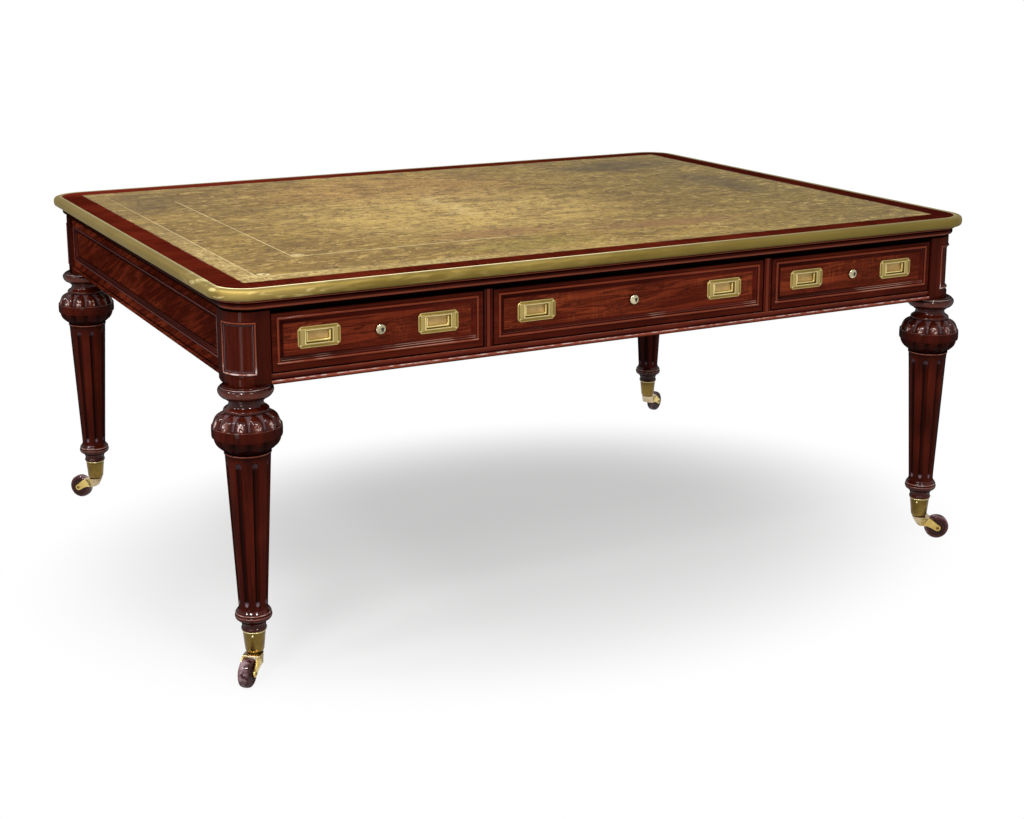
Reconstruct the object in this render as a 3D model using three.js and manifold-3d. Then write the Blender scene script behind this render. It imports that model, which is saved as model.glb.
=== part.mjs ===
// Library table: a leather-lined top on a three-drawer frieze and four turned legs with castors.
// Millimetres, +Z up, origin on the floor under the middle of the top, drawers opening towards -Y.
import * as THREE from "three";
import { mergeVertices } from "three/addons/utils/BufferGeometryUtils.js";
import Module from "manifold-3d";

const wasm = await Module();
wasm.setup();

// Driving dimensions
const topLength = 1750;
const topWidth = 1304;
const tableHeight = 762;
const topCornerRadius = 77;
const brassReach = 19;
const brassHeight = 23;
const brassLandWidth = 5;
const skinThickness = 1.6;
const crossbandWidth = 50;
const leatherCornerRadius = 6;
const corniceHeight = 23;
const corniceReach = 11.5;
const ovoloReach = 7.5;
const postInset = 27;
const postSize = 75;
const postHeight = 139;
const postFrameFootroom = 21.5;
const postFrameHeadroom = 18.5;
const postFrameMargin = 2;
const postFrameBar = 7;
const postFrameReach = 2;
const postFieldDepth = 2.5;
const sideClearance = 0.3;
const drawerGap = 1;

const frontInset = 4;
const railHeight = 19.5;
const railBeadHeight = 8;
const railBeadReach = 4.5;
const topRailThickness = 5;
const topRailSetback = 16;
const topRailDepth = 60;
const stileWidth = 17;
const stileShare = 0.42626;

const endInset = 6;
const endThickness = 22;
const endRailRise = 11;
const endBeadHeight = 9;
const endBeadReach = 5;
const panelMargin = 14;
const panelLowShare = 0.22;
const panelTopShare = 0.852;
const panelMouldingWidth = 11;
const panelMouldingReach = 2.2;
const panelDepth = 5;

const drawerTopGap = 0.5;
const drawerFrontThickness = 22;
const drawerBorder = 11;
const drawerMouldingWidth = 14;
const drawerMouldingReach = 3;
const drawerFieldDepth = 4;
const drawerBoxLength = 480;
const boxTopClearance = 17;
const drawerSideThickness = 12;
const drawerBottomThickness = 8;
const runnerThickness = 12;
const runnerLedge = 24;
const guideHeight = 44;

const sideHandleShare = 0.559;
const middleHandleShare = 0.694;
const handlePlateLength = 84;
const handlePlateHeight = 41;
const handlePlateThickness = 2.5;
const handlePlateProud = 1;
const handleCorner = 6.5;
const panLength = 51;
const panHeight = 23;
const panDepth = 10;
const panCorner = 1.5;
const panWall = 1.4;
const bailWire = 4;
const bailClearance = 1.2;
const lockRadius = 10.5;
const lockReach = 8.5;
const lockShank = 12;

const bulbRadius = 65.4;
const upperTurningHeight = 131.5;
const shaftTopRadius = 42;
const shaftFootRadius = 27;
const ankleRingRadius = 35;
const lowerTurningHeight = 46.5;

const cupHeight = 46;
const cupBase = 53;
const cupTopRadius = 21.7;
const cupFootRadius = 18;
const cupWall = 2;
const cupFloor = 5;
const cupRimReach = 1.1;
const cupRimHeight = 2.6;
const wheelRadius = 27.5;
const wheelWidth = 22;
const wheelHubReach = 1;
const axleRadius = 3;
const axleClearance = 0.1;
const castorTrail = 42;
const forkWall = 4.5;
const forkClearance = 0.6;
const forkBossRadius = 7.5;
const swivelRadius = 15;
const swivelHeight = 4;
const swivelPinRadius = 4;

// Numbers of facets
const cornerFacets = 6;
const noseFacets = 6;
const postFacets = 8;
const legFacets = 16;
const profileFacets = 4;
const wheelFacets = 16;
const axleFacets = 12;
const lockFacets = 12;
const pinFacets = 8;
const hornFacets = 12;

// Places that follow from the dimensions above
const boardHalfLength = topLength / 2 - brassReach;
const boardHalfWidth = topWidth / 2 - brassReach;
const boardCornerRadius = topCornerRadius - brassReach;
const leatherHalfLength = boardHalfLength - crossbandWidth;
const leatherHalfWidth = boardHalfWidth - crossbandWidth;
const boardTop = tableHeight - skinThickness;
const boardBottom = tableHeight - brassHeight;
const friezeTop = boardBottom - corniceHeight;
const postFoot = friezeTop - postHeight;
const postHalfLength = topLength / 2 - postInset;
const postHalfWidth = topWidth / 2 - postInset;
const postCornerRadius = topCornerRadius - postInset;
const postInnerX = postHalfLength - postSize;
const postInnerY = postHalfWidth - postSize;
const legX = postHalfLength - postSize / 2;
const legY = postHalfWidth - postSize / 2;
const cupTop = cupBase + cupHeight;
const frontPlane = -(postHalfWidth - frontInset);
const railDepth = postSize - frontInset;
const railBack = frontPlane + railDepth;
const endHeight = postHeight - endRailRise;
const railTop = postFoot + railHeight;
const drawerBase = railTop + drawerGap;
const drawerFrontHeight = friezeTop - topRailThickness - drawerTopGap - drawerBase;
const drawerBoxHeight = drawerFrontHeight - boxTopClearance;
const stileOffset = postInnerX * stileShare;
const runnerTop = drawerBase - sideClearance;
const sideDrawerOuter = postInnerX - drawerGap;
const sideDrawerInner = stileOffset + stileWidth / 2 + drawerGap;
const middleDrawerHalf = stileOffset - stileWidth / 2 - drawerGap;
const sideDrawerCentre = (sideDrawerOuter + sideDrawerInner) / 2;
const sideDrawerWidth = sideDrawerOuter - sideDrawerInner;
const drawerBoxFront = frontPlane + drawerFrontThickness;
const fieldPlane = frontPlane + drawerFieldDepth;
const handleHeight = drawerBase + drawerFrontHeight / 2 + drawerMouldingReach;

// The four corners of the table: signs of X and Y, the turn of the post and the castor's lie at rest
const corners = [
  { name: "front_left", x: -1, y: -1, turn: 0, swivel: -130 },
  { name: "front_right", x: 1, y: -1, turn: 90, swivel: -30 },
  { name: "back_right", x: 1, y: 1, turn: 180, swivel: 29 },
  { name: "back_left", x: -1, y: 1, turn: 270, swivel: 133.5 },
];

// The three drawers: centre, width and how far apart the two handles are, as a share of the width
const drawers = [
  { name: "left", x: -sideDrawerCentre, width: sideDrawerWidth, spreadShare: sideHandleShare },
  { name: "middle", x: 0, width: 2 * middleDrawerHalf, spreadShare: middleHandleShare },
  { name: "right", x: sideDrawerCentre, width: sideDrawerWidth, spreadShare: sideHandleShare },
];

// Mouldings of the turned leg, from its foot up. Heights are shares of the whole turning's height and
// radii of its largest ring, and each outline's points are shares of its own radius and height
const lowerTurningShares = [
  { height: 0.1075, radius: 0.68, outline: [[0.95, 0], [1, 0.5], [0.95, 1]] },
  { height: 0.344, radius: 0.771, outline: [[0.83, 0.1], [0.81, 0.5], [0.96, 1]] },
  { height: 0.4516, radius: 1, outline: [[0.83, 0.06], [0.97, 0.3], [1, 0.55], [0.87, 1]] },
  { height: 0.0969, radius: 0.829, outline: [[1, 0.1], [1, 1]] },
];
const upperTurningShares = [
  { height: 0.0357, radius: 0.67, outline: [[1, 0], [1, 1]] },
  {
    height: 0.5954,
    radius: 1,
    outline: [
      [0.69, 0.01], [0.8, 0.09], [0.9, 0.2], [0.955, 0.3], [1, 0.45],
      [1, 0.58], [0.965, 0.69], [0.91, 0.8], [0.855, 0.87], [0.7, 0.965],
    ],
  },
  { height: 0.0837, radius: 0.65, outline: [[1, 0], [0.98, 0.2], [0.85, 0.62], [0.77, 1]] },
  { height: 0.0685, radius: 0.505, outline: [[0.95, 0.35], [1, 1]] },
  { height: 0.0267, radius: 0.55, outline: [[1, 0], [1, 1]] },
  { height: 0.1521, radius: 0.7875, outline: [[0.76, 0], [0.93, 0.25], [1, 0.58], [0.98, 0.85], [0.91, 1]] },
  { height: 0.0379, radius: 0.688, outline: [[1, 0.1], [0.97, 1]] },
];

// Colours and finishes
const finishes = {
  mahogany: { color: 0x5a1e12, roughness: 0.28, metalness: 0 },
  flameMahogany: { color: 0x74301c, roughness: 0.25, metalness: 0 },
  carcase: { color: 0x7c5232, roughness: 0.7, metalness: 0 },
  leather: { color: 0xa08250, roughness: 0.5, metalness: 0 },
  brass: { color: 0x9c8440, roughness: 0.35, metalness: 1 },
  agedBrass: { color: 0x84692c, roughness: 0.4, metalness: 1 },
  darkWood: { color: 0x3c1a12, roughness: 0.35, metalness: 0 },
};

const table = new THREE.Group();

// A closed solid from a three.js geometry, moved into place first when a matrix is given
function solidFrom(geometry, matrix) {
  const bare = geometry.clone();
  bare.deleteAttribute("normal");
  bare.deleteAttribute("uv");
  if (matrix) bare.applyMatrix4(matrix);
  const merged = mergeVertices(bare);
  const index = Array.from(merged.index.array);
  const triVerts = [];
  for (let i = 0; i < index.length; i += 3) {
    const [a, b, c] = index.slice(i, i + 3);
    if (a !== b && b !== c && c !== a) triVerts.push(a, b, c);
  }
  return new wasm.Manifold(new wasm.Mesh({
    numProp: 3,
    vertProperties: new Float32Array(merged.attributes.position.array),
    triVerts: new Uint32Array(triVerts),
  }));
}

// A named piece of the table, hung in a group
function addPiece(group, name, solid, finish) {
  const mesh = solid.getMesh();
  const geometry = new THREE.BufferGeometry();
  geometry.setAttribute("position", new THREE.BufferAttribute(new Float32Array(mesh.vertProperties), 3));
  geometry.setIndex(new THREE.BufferAttribute(new Uint32Array(mesh.triVerts), 1));
  geometry.computeVertexNormals();
  const piece = new THREE.Mesh(geometry, new THREE.MeshStandardMaterial(finishes[finish]));
  piece.name = name;
  group.add(piece);
  return piece;
}

// A block between two corners
function block(low, high) {
  const size = high.map((value, axis) => value - low[axis]);
  const geometry = new THREE.BoxGeometry(...size);
  geometry.translate(...low.map((value, axis) => value + size[axis] / 2));
  return solidFrom(geometry);
}

// An outline in the XY plane, raised from one level to another
function slab(shape, low, high, curveSegments = cornerFacets) {
  const depth = high - low;
  const geometry = new THREE.ExtrudeGeometry(shape, { depth, bevelEnabled: false, curveSegments });
  geometry.translate(0, 0, low);
  return solidFrom(geometry);
}

// A turned solid about Z through [radius, level] points that start and end on the axis
function turned(points, facets) {
  const profile = points.map(([radius, level]) => new THREE.Vector2(radius, level));
  const geometry = new THREE.LatheGeometry(profile, facets);
  geometry.rotateX(Math.PI / 2);
  return solidFrom(geometry);
}

// A rectangle with round corners about the origin, as points that keep their number at every size
function roundedOutline(halfLength, halfWidth, radius, facets = cornerFacets) {
  const points = [];
  const quarter = Math.PI / 2;
  const signs = [[1, 1], [-1, 1], [-1, -1], [1, -1]];
  signs.forEach(([sx, sy], corner) => {
    for (let step = 0; step <= facets; step += 1) {
      const angle = quarter * (corner + step / facets);
      const x = sx * (halfLength - radius) + radius * Math.cos(angle);
      const y = sy * (halfWidth - radius) + radius * Math.sin(angle);
      points.push([x, y]);
    }
  });
  return points;
}

// A rectangle with clipped corners about the origin
function clippedOutline(halfLength, halfWidth, clip) {
  return roundedOutline(halfLength, halfWidth, clip, 1);
}

// A plain rectangle about the origin
function squareOutline(halfLength, halfWidth) {
  const signs = [[1, 1], [-1, 1], [-1, -1], [1, -1]];
  return signs.map(([sx, sy]) => [sx * halfLength, sy * halfWidth]);
}

// A solid through level outlines of equal count: rings joined in turn, closed by caps or on itself
function loft(rings, closedLoop = false) {
  const count = rings[0].points.length;
  const positions = rings.flatMap((ring) => ring.points.flatMap(([x, y]) => [x, y, ring.level]));
  const triangles = [];
  const spans = closedLoop ? rings.length : rings.length - 1;
  for (let ring = 0; ring < spans; ring += 1) {
    const next = (ring + 1) % rings.length;
    for (let step = 0; step < count; step += 1) {
      const a = ring * count + step;
      const b = ring * count + (step + 1) % count;
      const c = next * count + (step + 1) % count;
      const d = next * count + step;
      triangles.push(a, b, c, a, c, d);
    }
  }
  if (!closedLoop) {
    const last = (rings.length - 1) * count;
    for (let step = 1; step < count - 1; step += 1) {
      triangles.push(0, step + 1, step);
      triangles.push(last, last + step, last + step + 1);
    }
  }
  const geometry = new THREE.BufferGeometry();
  geometry.setAttribute("position", new THREE.BufferAttribute(new Float32Array(positions), 3));
  geometry.setIndex(triangles);
  return geometry;
}

// A moulding carried round the table top: [reach beyond the outline, level] points, anticlockwise
function mouldingRing(halfLength, halfWidth, radius, section) {
  const rings = section.map(([reach, level]) => ({
    points: roundedOutline(halfLength + reach, halfWidth + reach, radius + reach),
    level,
  }));
  return solidFrom(loft(rings, true));
}

// A piece drawn facing up, stood up to face -Y with its level 0 on the given plane
function facingFront(x, plane, z) {
  const matrix = new THREE.Matrix4().makeRotationX(Math.PI / 2);
  return matrix.premultiply(new THREE.Matrix4().makeTranslation(x, plane, z));
}

// Top board with the veneer border, leather and brass edge
function addTop() {
  const outline = (halfLength, halfWidth, radius) => {
    const points = roundedOutline(halfLength, halfWidth, radius).map(([x, y]) => new THREE.Vector2(x, y));
    return new THREE.Shape(points);
  };
  const boardShape = outline(boardHalfLength, boardHalfWidth, boardCornerRadius);
  addPiece(table, "top_board", slab(boardShape, boardBottom, boardTop), "carcase");
  const leatherShape = outline(leatherHalfLength, leatherHalfWidth, leatherCornerRadius);
  const border = slab(boardShape, boardTop, tableHeight)
    .subtract(slab(leatherShape, boardTop - skinThickness, tableHeight + skinThickness));
  addPiece(table, "crossband_border", border, "mahogany");
  addPiece(table, "leather_inset", slab(leatherShape, boardTop, tableHeight), "leather");

  const noseReach = brassReach - brassLandWidth;
  const section = [[0, tableHeight], [0, boardBottom]];
  for (let step = 0; step <= noseFacets; step += 1) {
    const angle = Math.PI * (step / noseFacets - 1 / 2);
    const reach = brassLandWidth + noseReach * Math.cos(angle);
    const level = boardBottom + brassHeight / 2 * (1 + Math.sin(angle));
    section.push([reach, level]);
  }
  const edge = mouldingRing(boardHalfLength, boardHalfWidth, boardCornerRadius, section);
  addPiece(table, "brass_edge", edge, "brass");
}

// Moulded board under the top that the posts and rails are fixed to
function addCornice() {
  const ovoloShares = [[-0.1, 0], [-0.1, 0.1], [0.15, 0.14], [0.6, 0.3], [0.9, 0.5], [1, 0.68], [0.8, 0.78]];
  const filletShares = [[1, 0.83], [1, 1]];
  const edge = [
    ...ovoloShares.map(([reachShare, levelShare]) => [ovoloReach * reachShare, levelShare]),
    ...filletShares.map(([reachShare, levelShare]) => [corniceReach * reachShare, levelShare]),
  ];
  const rings = edge.map(([reach, levelShare]) => ({
    points: roundedOutline(postHalfLength + reach, postHalfWidth + reach, postCornerRadius + reach),
    level: friezeTop + levelShare * corniceHeight,
  }));
  addPiece(table, "cornice_board", solidFrom(loft(rings)), "mahogany");
}

// Post with one round outer corner, and the panel let into that corner inside a raised frame
function cornerPost() {
  const half = postSize / 2;
  const centre = postCornerRadius - half;
  const shape = new THREE.Shape();
  shape.moveTo(half, -half);
  shape.lineTo(half, half);
  shape.lineTo(-half, half);
  shape.lineTo(-half, centre);
  shape.absarc(centre, centre, postCornerRadius, Math.PI, 1.5 * Math.PI, false);
  const post = slab(shape, postFoot, friezeTop, postFacets);

  const frameTop = friezeTop - postFrameHeadroom;
  const frameFoot = postFoot + postFrameFootroom;
  const marginAngle = postFrameMargin / postCornerRadius;
  const fieldAngle = (postFrameMargin + postFrameBar) / postCornerRadius;
  const bend = (innerReach, outerReach, trim, low, high) => {
    const band = new THREE.Shape();
    const from = Math.PI + trim;
    const to = 1.5 * Math.PI - trim;
    band.absarc(centre, centre, postCornerRadius + outerReach, from, to, false);
    band.absarc(centre, centre, postCornerRadius + innerReach, to, from, true);
    return slab(band, low, high, postFacets);
  };
  const frame = bend(-2 * postFieldDepth, postFrameReach, marginAngle, frameFoot, frameTop);
  const fieldFoot = frameFoot + postFrameBar;
  const field = bend(-postFieldDepth, 2 * postFrameReach, fieldAngle, fieldFoot, frameTop - postFrameBar);
  return post.add(frame).subtract(field);
}

// Outline points of a row of turned mouldings, stacked from a foot level up
function turningPoints(mouldingShares, radius, height, foot) {
  let level = foot;
  return mouldingShares.flatMap((share) => {
    const from = level;
    level += share.height * height;
    return share.outline.map(([radiusShare, heightShare]) => [
      radiusShare * share.radius * radius,
      from + heightShare * share.height * height,
    ]);
  });
}

// Turned leg below the post, with a tenon that fills the castor cup
function turnedLeg() {
  const tenonClearance = sideClearance;
  const tenonFoot = cupBase + cupFloor;
  const tenonFootRadius = cupFootRadius - cupWall - tenonClearance;
  const tenonTopRadius = cupTopRadius - cupWall - tenonClearance;
  const shaftFoot = cupTop + lowerTurningHeight;
  const shaftTop = postFoot - upperTurningHeight;
  const seat = postSize / 4;
  return turned([
    [0, tenonFoot],
    [tenonFootRadius, tenonFoot],
    [tenonTopRadius, cupTop],
    ...turningPoints(lowerTurningShares, ankleRingRadius, lowerTurningHeight, cupTop),
    [shaftFootRadius, shaftFoot],
    [shaftTopRadius, shaftTop],
    ...turningPoints(upperTurningShares, bulbRadius, upperTurningHeight, shaftTop),
    [seat, postFoot],
    [seat, postFoot + seat],
    [0, postFoot + seat],
  ], legFacets);
}

// Castor: fixed cup, swivelling horn with its axle, and the wheel
function addCastor(corner) {
  const group = new THREE.Group();
  group.position.set(corner.x * legX, corner.y * legY, 0);
  group.rotation.z = THREE.MathUtils.degToRad(corner.swivel);
  table.add(group);

  const rimFoot = cupTop - cupRimHeight;
  const shoulder = cupBase + cupFloor * 1.4;
  const pinBoreRadius = swivelPinRadius + axleClearance;
  const cup = turned([
    [pinBoreRadius, cupBase],
    [swivelRadius, cupBase],
    [cupFootRadius, shoulder],
    [cupTopRadius, rimFoot],
    [cupTopRadius + cupRimReach, rimFoot],
    [cupTopRadius + cupRimReach, cupTop],
    [cupTopRadius - cupWall, cupTop],
    [cupFootRadius - cupWall, cupBase + cupFloor],
    [pinBoreRadius, cupBase + cupFloor],
    [pinBoreRadius, cupBase],
  ], legFacets);
  const cupGroup = new THREE.Group();
  cupGroup.position.copy(group.position);
  table.add(cupGroup);
  addPiece(cupGroup, `castor_cup_${corner.name}`, cup, "agedBrass");

  const slotHalf = wheelWidth / 2 + wheelHubReach + forkClearance;
  const forkHalf = slotHalf + forkWall;
  const plateTop = cupBase - sideClearance;
  const plateFoot = plateTop - swivelHeight;
  const tipLevel = plateTop - swivelRadius * 1.35;
  const side = new THREE.Shape();
  side.moveTo(-swivelRadius, plateTop);
  side.lineTo(-swivelRadius * 0.85, plateFoot);
  side.lineTo(-swivelRadius * 0.2, tipLevel);
  side.lineTo(swivelRadius * 0.35, tipLevel);
  const armFootX = castorTrail - forkBossRadius * 0.5;
  const armFootLevel = wheelRadius - forkBossRadius * 0.9;
  side.quadraticCurveTo(castorTrail * 0.6, tipLevel, armFootX, armFootLevel);
  side.absarc(castorTrail, wheelRadius, forkBossRadius, -Math.PI * 0.6, Math.PI * 0.35, false);
  side.quadraticCurveTo(castorTrail * 0.8, plateFoot, swivelRadius, plateTop);
  const arm = new THREE.ExtrudeGeometry(side, {
    depth: 2 * forkHalf,
    bevelEnabled: false,
    curveSegments: profileFacets,
  });
  arm.translate(0, 0, -forkHalf);
  arm.rotateX(Math.PI / 2);
  const wheelSpace = new THREE.CylinderGeometry(
    wheelRadius + axleRadius,
    wheelRadius + axleRadius,
    2 * slotHalf,
    wheelFacets,
  );
  wheelSpace.translate(castorTrail, 0, wheelRadius);
  const boreRadius = axleRadius + axleClearance;
  const bore = new THREE.CylinderGeometry(boreRadius, boreRadius, forkHalf * 4, axleFacets);
  bore.translate(castorTrail, 0, wheelRadius);
  const trim = turned([
    [0, 0],
    [forkHalf, 0],
    [forkHalf, plateFoot],
    [swivelRadius, plateTop],
    [0, plateTop],
  ], hornFacets);
  const armSpace = block([0, -forkHalf, 0], [castorTrail + forkBossRadius, forkHalf, plateTop]);
  const pinFoot = plateTop - swivelHeight / 2;
  const pinTop = cupBase + cupFloor - sideClearance;
  const pin = turned([
    [0, pinFoot],
    [swivelPinRadius, pinFoot],
    [swivelPinRadius, pinTop],
    [0, pinTop],
  ], pinFacets);
  const horn = solidFrom(arm)
    .intersect(trim.add(armSpace))
    .subtract(solidFrom(wheelSpace))
    .subtract(solidFrom(bore))
    .add(pin);
  addPiece(group, `castor_horn_${corner.name}`, horn, "agedBrass");

  const axle = new THREE.CylinderGeometry(axleRadius, axleRadius, 2 * forkHalf, axleFacets);
  const axlePiece = addPiece(group, `castor_axle_${corner.name}`, solidFrom(axle), "agedBrass");
  axlePiece.position.set(castorTrail, 0, wheelRadius);

  const halfWidth = wheelWidth / 2;
  const hubHalf = halfWidth + wheelHubReach;
  const wheelBore = axleRadius + axleClearance;
  const hubRadius = forkBossRadius * 1.2;
  const section = [
    [wheelBore, -hubHalf],
    [hubRadius, -hubHalf],
    [hubRadius, -halfWidth],
    [wheelRadius * 0.8, -halfWidth],
    [wheelRadius, -halfWidth * 0.55],
    [wheelRadius, halfWidth * 0.55],
    [wheelRadius * 0.8, halfWidth],
    [hubRadius, halfWidth],
    [hubRadius, hubHalf],
    [wheelBore, hubHalf],
    [wheelBore, -hubHalf],
  ].map(([radius, level]) => new THREE.Vector2(radius, level));
  const wheel = solidFrom(new THREE.LatheGeometry(section, wheelFacets));
  const wheelPiece = addPiece(group, `castor_wheel_${corner.name}`, wheel, "darkWood");
  wheelPiece.position.set(castorTrail, 0, wheelRadius);
}

// Legs with their posts, each turned so that its round corner faces out
function addLegs() {
  const leg = cornerPost().add(turnedLeg());
  corners.forEach((corner) => {
    const piece = addPiece(table, `leg_${corner.name}`, leg, "mahogany");
    piece.position.set(corner.x * legX, corner.y * legY, 0);
    piece.rotation.z = THREE.MathUtils.degToRad(corner.turn);
    addCastor(corner);
  });
}

// Rail section across its thickness: a flat face with a half-round bead along its foot
function railSection(thickness, foot, top, beadHeight, beadReach) {
  const shape = new THREE.Shape();
  shape.moveTo(thickness, foot);
  shape.lineTo(thickness, top);
  shape.lineTo(0, top);
  shape.lineTo(0, foot + beadHeight);
  shape.lineTo(-beadReach * 0.7, foot + beadHeight * 0.93);
  shape.lineTo(-beadReach, foot + beadHeight * 0.5);
  shape.lineTo(-beadReach * 0.7, foot + beadHeight * 0.07);
  shape.lineTo(0, foot);
  return shape;
}

// A rail of that section, centred on the origin, its face towards -Y and its length along X
function railSolid(shape, length) {
  const geometry = new THREE.ExtrudeGeometry(shape, { depth: length, bevelEnabled: false });
  geometry.rotateX(Math.PI / 2);
  geometry.rotateZ(Math.PI / 2);
  geometry.translate(-length / 2, 0, 0);
  return solidFrom(geometry);
}

// Panelled rail: a long sunk panel in the frieze, with a moulding seated round its edge
function addPanelledRail(name, half, height, plane, turn) {
  const shape = railSection(endThickness, friezeTop - height, friezeTop, endBeadHeight, endBeadReach);
  const low = friezeTop - height + panelLowShare * height;
  const high = friezeTop - height + panelTopShare * height;
  const panelHalf = half - panelMargin;
  const middle = (low + high) / 2;
  const panelHalfHeight = (high - low) / 2;
  const recess = block([-panelHalf, -panelDepth, low], [panelHalf, panelDepth, high]);
  const rail = railSolid(shape, 2 * half).subtract(recess);

  const inner = panelMouldingWidth;
  const steps = [
    [0, -panelDepth],
    [0, panelMouldingReach * 0.6],
    [inner * 0.2, panelMouldingReach],
    [inner * 0.5, panelMouldingReach * 0.4],
    [inner * 0.6, -panelDepth * 0.4],
    [inner, -panelDepth * 0.8],
    [inner, -panelDepth],
  ];
  const rings = steps.map(([inset, level]) => ({
    points: squareOutline(panelHalf - inset, panelHalfHeight - inset),
    level,
  }));
  const moulding = solidFrom(loft(rings, true), facingFront(0, 0, middle));
  const group = new THREE.Group();
  group.position.set(plane.x, plane.y, 0);
  group.rotation.z = THREE.MathUtils.degToRad(turn);
  table.add(group);
  addPiece(group, `${name}_rail`, rail, "flameMahogany");
  addPiece(group, `${name}_panel_moulding`, moulding, "mahogany");
}

// Rails, stiles and drawer runners of the frieze
function addFrieze() {
  const endPlane = postHalfLength - endInset;
  const backPlane = postHalfWidth - endInset;
  addPanelledRail("left_end", postInnerY, endHeight, { x: -endPlane, y: 0 }, 270);
  addPanelledRail("right_end", postInnerY, endHeight, { x: endPlane, y: 0 }, 90);
  addPanelledRail("back", postInnerX, postHeight, { x: 0, y: backPlane }, 180);

  const bottomShape = railSection(railDepth, postFoot, railTop, railBeadHeight, railBeadReach);
  const bottomRail = addPiece(table, "front_bottom_rail", railSolid(bottomShape, 2 * postInnerX), "mahogany");
  bottomRail.position.y = frontPlane;
  const topRailFoot = friezeTop - topRailThickness;
  const topRailFront = frontPlane + topRailSetback;
  const topRail = block(
    [-postInnerX, topRailFront, topRailFoot],
    [postInnerX, topRailFront + topRailDepth, friezeTop],
  );
  addPiece(table, "front_top_rail", topRail, "mahogany");

  const stile = block([-stileWidth / 2, 0, railTop], [stileWidth / 2, railDepth, topRailFoot]);
  [["left", -1], ["right", 1]].forEach(([side, sign]) => {
    const piece = addPiece(table, `drawer_stile_${side}`, stile, "mahogany");
    piece.position.set(sign * stileOffset, frontPlane, 0);
  });

  const backFace = backPlane - endThickness;
  const ledgeFoot = runnerTop - runnerThickness;
  const guideTop = runnerTop + guideHeight;
  const guideHalf = stileWidth / 2;
  const ledgeHalf = guideHalf + runnerLedge;
  const innerRunner = block([-ledgeHalf, railBack, ledgeFoot], [ledgeHalf, backFace, runnerTop])
    .add(block([-guideHalf, railBack, ledgeFoot], [guideHalf, backFace, guideTop]));
  const endFace = endPlane - endThickness;
  const lap = postInnerX - runnerLedge / 2;
  const outerRunner = block([lap - runnerLedge / 2, railBack, ledgeFoot], [lap, backFace, runnerTop])
    .add(block([lap, -postInnerY, ledgeFoot], [endFace, postInnerY, runnerTop]))
    .add(block([postInnerX, -postInnerY, ledgeFoot], [endFace, postInnerY, guideTop]));
  [["left", -1], ["right", 1]].forEach(([side, sign]) => {
    const inner = addPiece(table, `drawer_runner_inner_${side}`, innerRunner, "carcase");
    inner.position.x = sign * stileOffset;
    const outer = sign < 0 ? outerRunner.mirror([1, 0, 0]) : outerRunner;
    addPiece(table, `drawer_runner_outer_${side}`, outer, "carcase");
  });
}

// Drawer front with a border, a raised moulding and a sunk field
function drawerFrontSolid(width) {
  const half = width / 2;
  const halfHeight = drawerFrontHeight / 2;
  const inner = drawerBorder + drawerMouldingWidth;
  const steps = [
    [0, -drawerFrontThickness],
    [0, 0],
    [drawerBorder, 0],
    [drawerBorder + drawerMouldingWidth * 0.1, drawerMouldingReach * 0.9],
    [drawerBorder + drawerMouldingWidth * 0.3, drawerMouldingReach],
    [drawerBorder + drawerMouldingWidth * 0.45, drawerMouldingReach * 0.2],
    [inner, -drawerFieldDepth * 0.7],
    [inner, -drawerFieldDepth],
  ];
  const rings = steps.map(([inset, level]) => ({
    points: squareOutline(half - inset, halfHeight - inset),
    level,
  }));
  return solidFrom(loft(rings), facingFront(0, frontPlane, drawerBase + halfHeight));
}

// Drawer box: an open tray behind the front
function drawerBoxSolid(width) {
  const half = width / 2 - drawerGap;
  const back = drawerBoxFront + drawerBoxLength;
  const outer = block([-half, drawerBoxFront, drawerBase], [half, back, drawerBase + drawerBoxHeight]);
  const inside = block(
    [-half + drawerSideThickness, drawerBoxFront + drawerSideThickness, drawerBase + drawerBottomThickness],
    [half - drawerSideThickness, back - drawerSideThickness, drawerBase + drawerBoxHeight * 2],
  );
  return outer.subtract(inside);
}

// Flush handle plate with clipped corners and a sunk pan, or the wider seat cut for it
function handlePlateGeometry(grow = 0) {
  const plateHalfLength = handlePlateLength / 2 + grow;
  const plateHalfHeight = handlePlateHeight / 2 + grow;
  const wall = panWall + grow;
  const front = handlePlateProud;
  const back = handlePlateProud - handlePlateThickness;
  const floor = handlePlateProud - panDepth;
  const pan = (reach, level) => ({
    points: clippedOutline(panLength / 2 + reach, panHeight / 2 + reach, panCorner + reach),
    level,
  });
  const plate = (inset, level) => ({
    points: clippedOutline(plateHalfLength - inset, plateHalfHeight - inset, handleCorner),
    level,
  });
  const outside = [pan(wall, floor - wall), pan(wall, back), plate(0, back)];
  if (grow > 0) return loft([...outside, plate(0, front + grow)]);
  const rimLevel = front - handlePlateProud * 0.6;
  return loft([...outside, plate(0, rimLevel), plate(front, front), pan(0, front), pan(0, floor)]);
}

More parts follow.
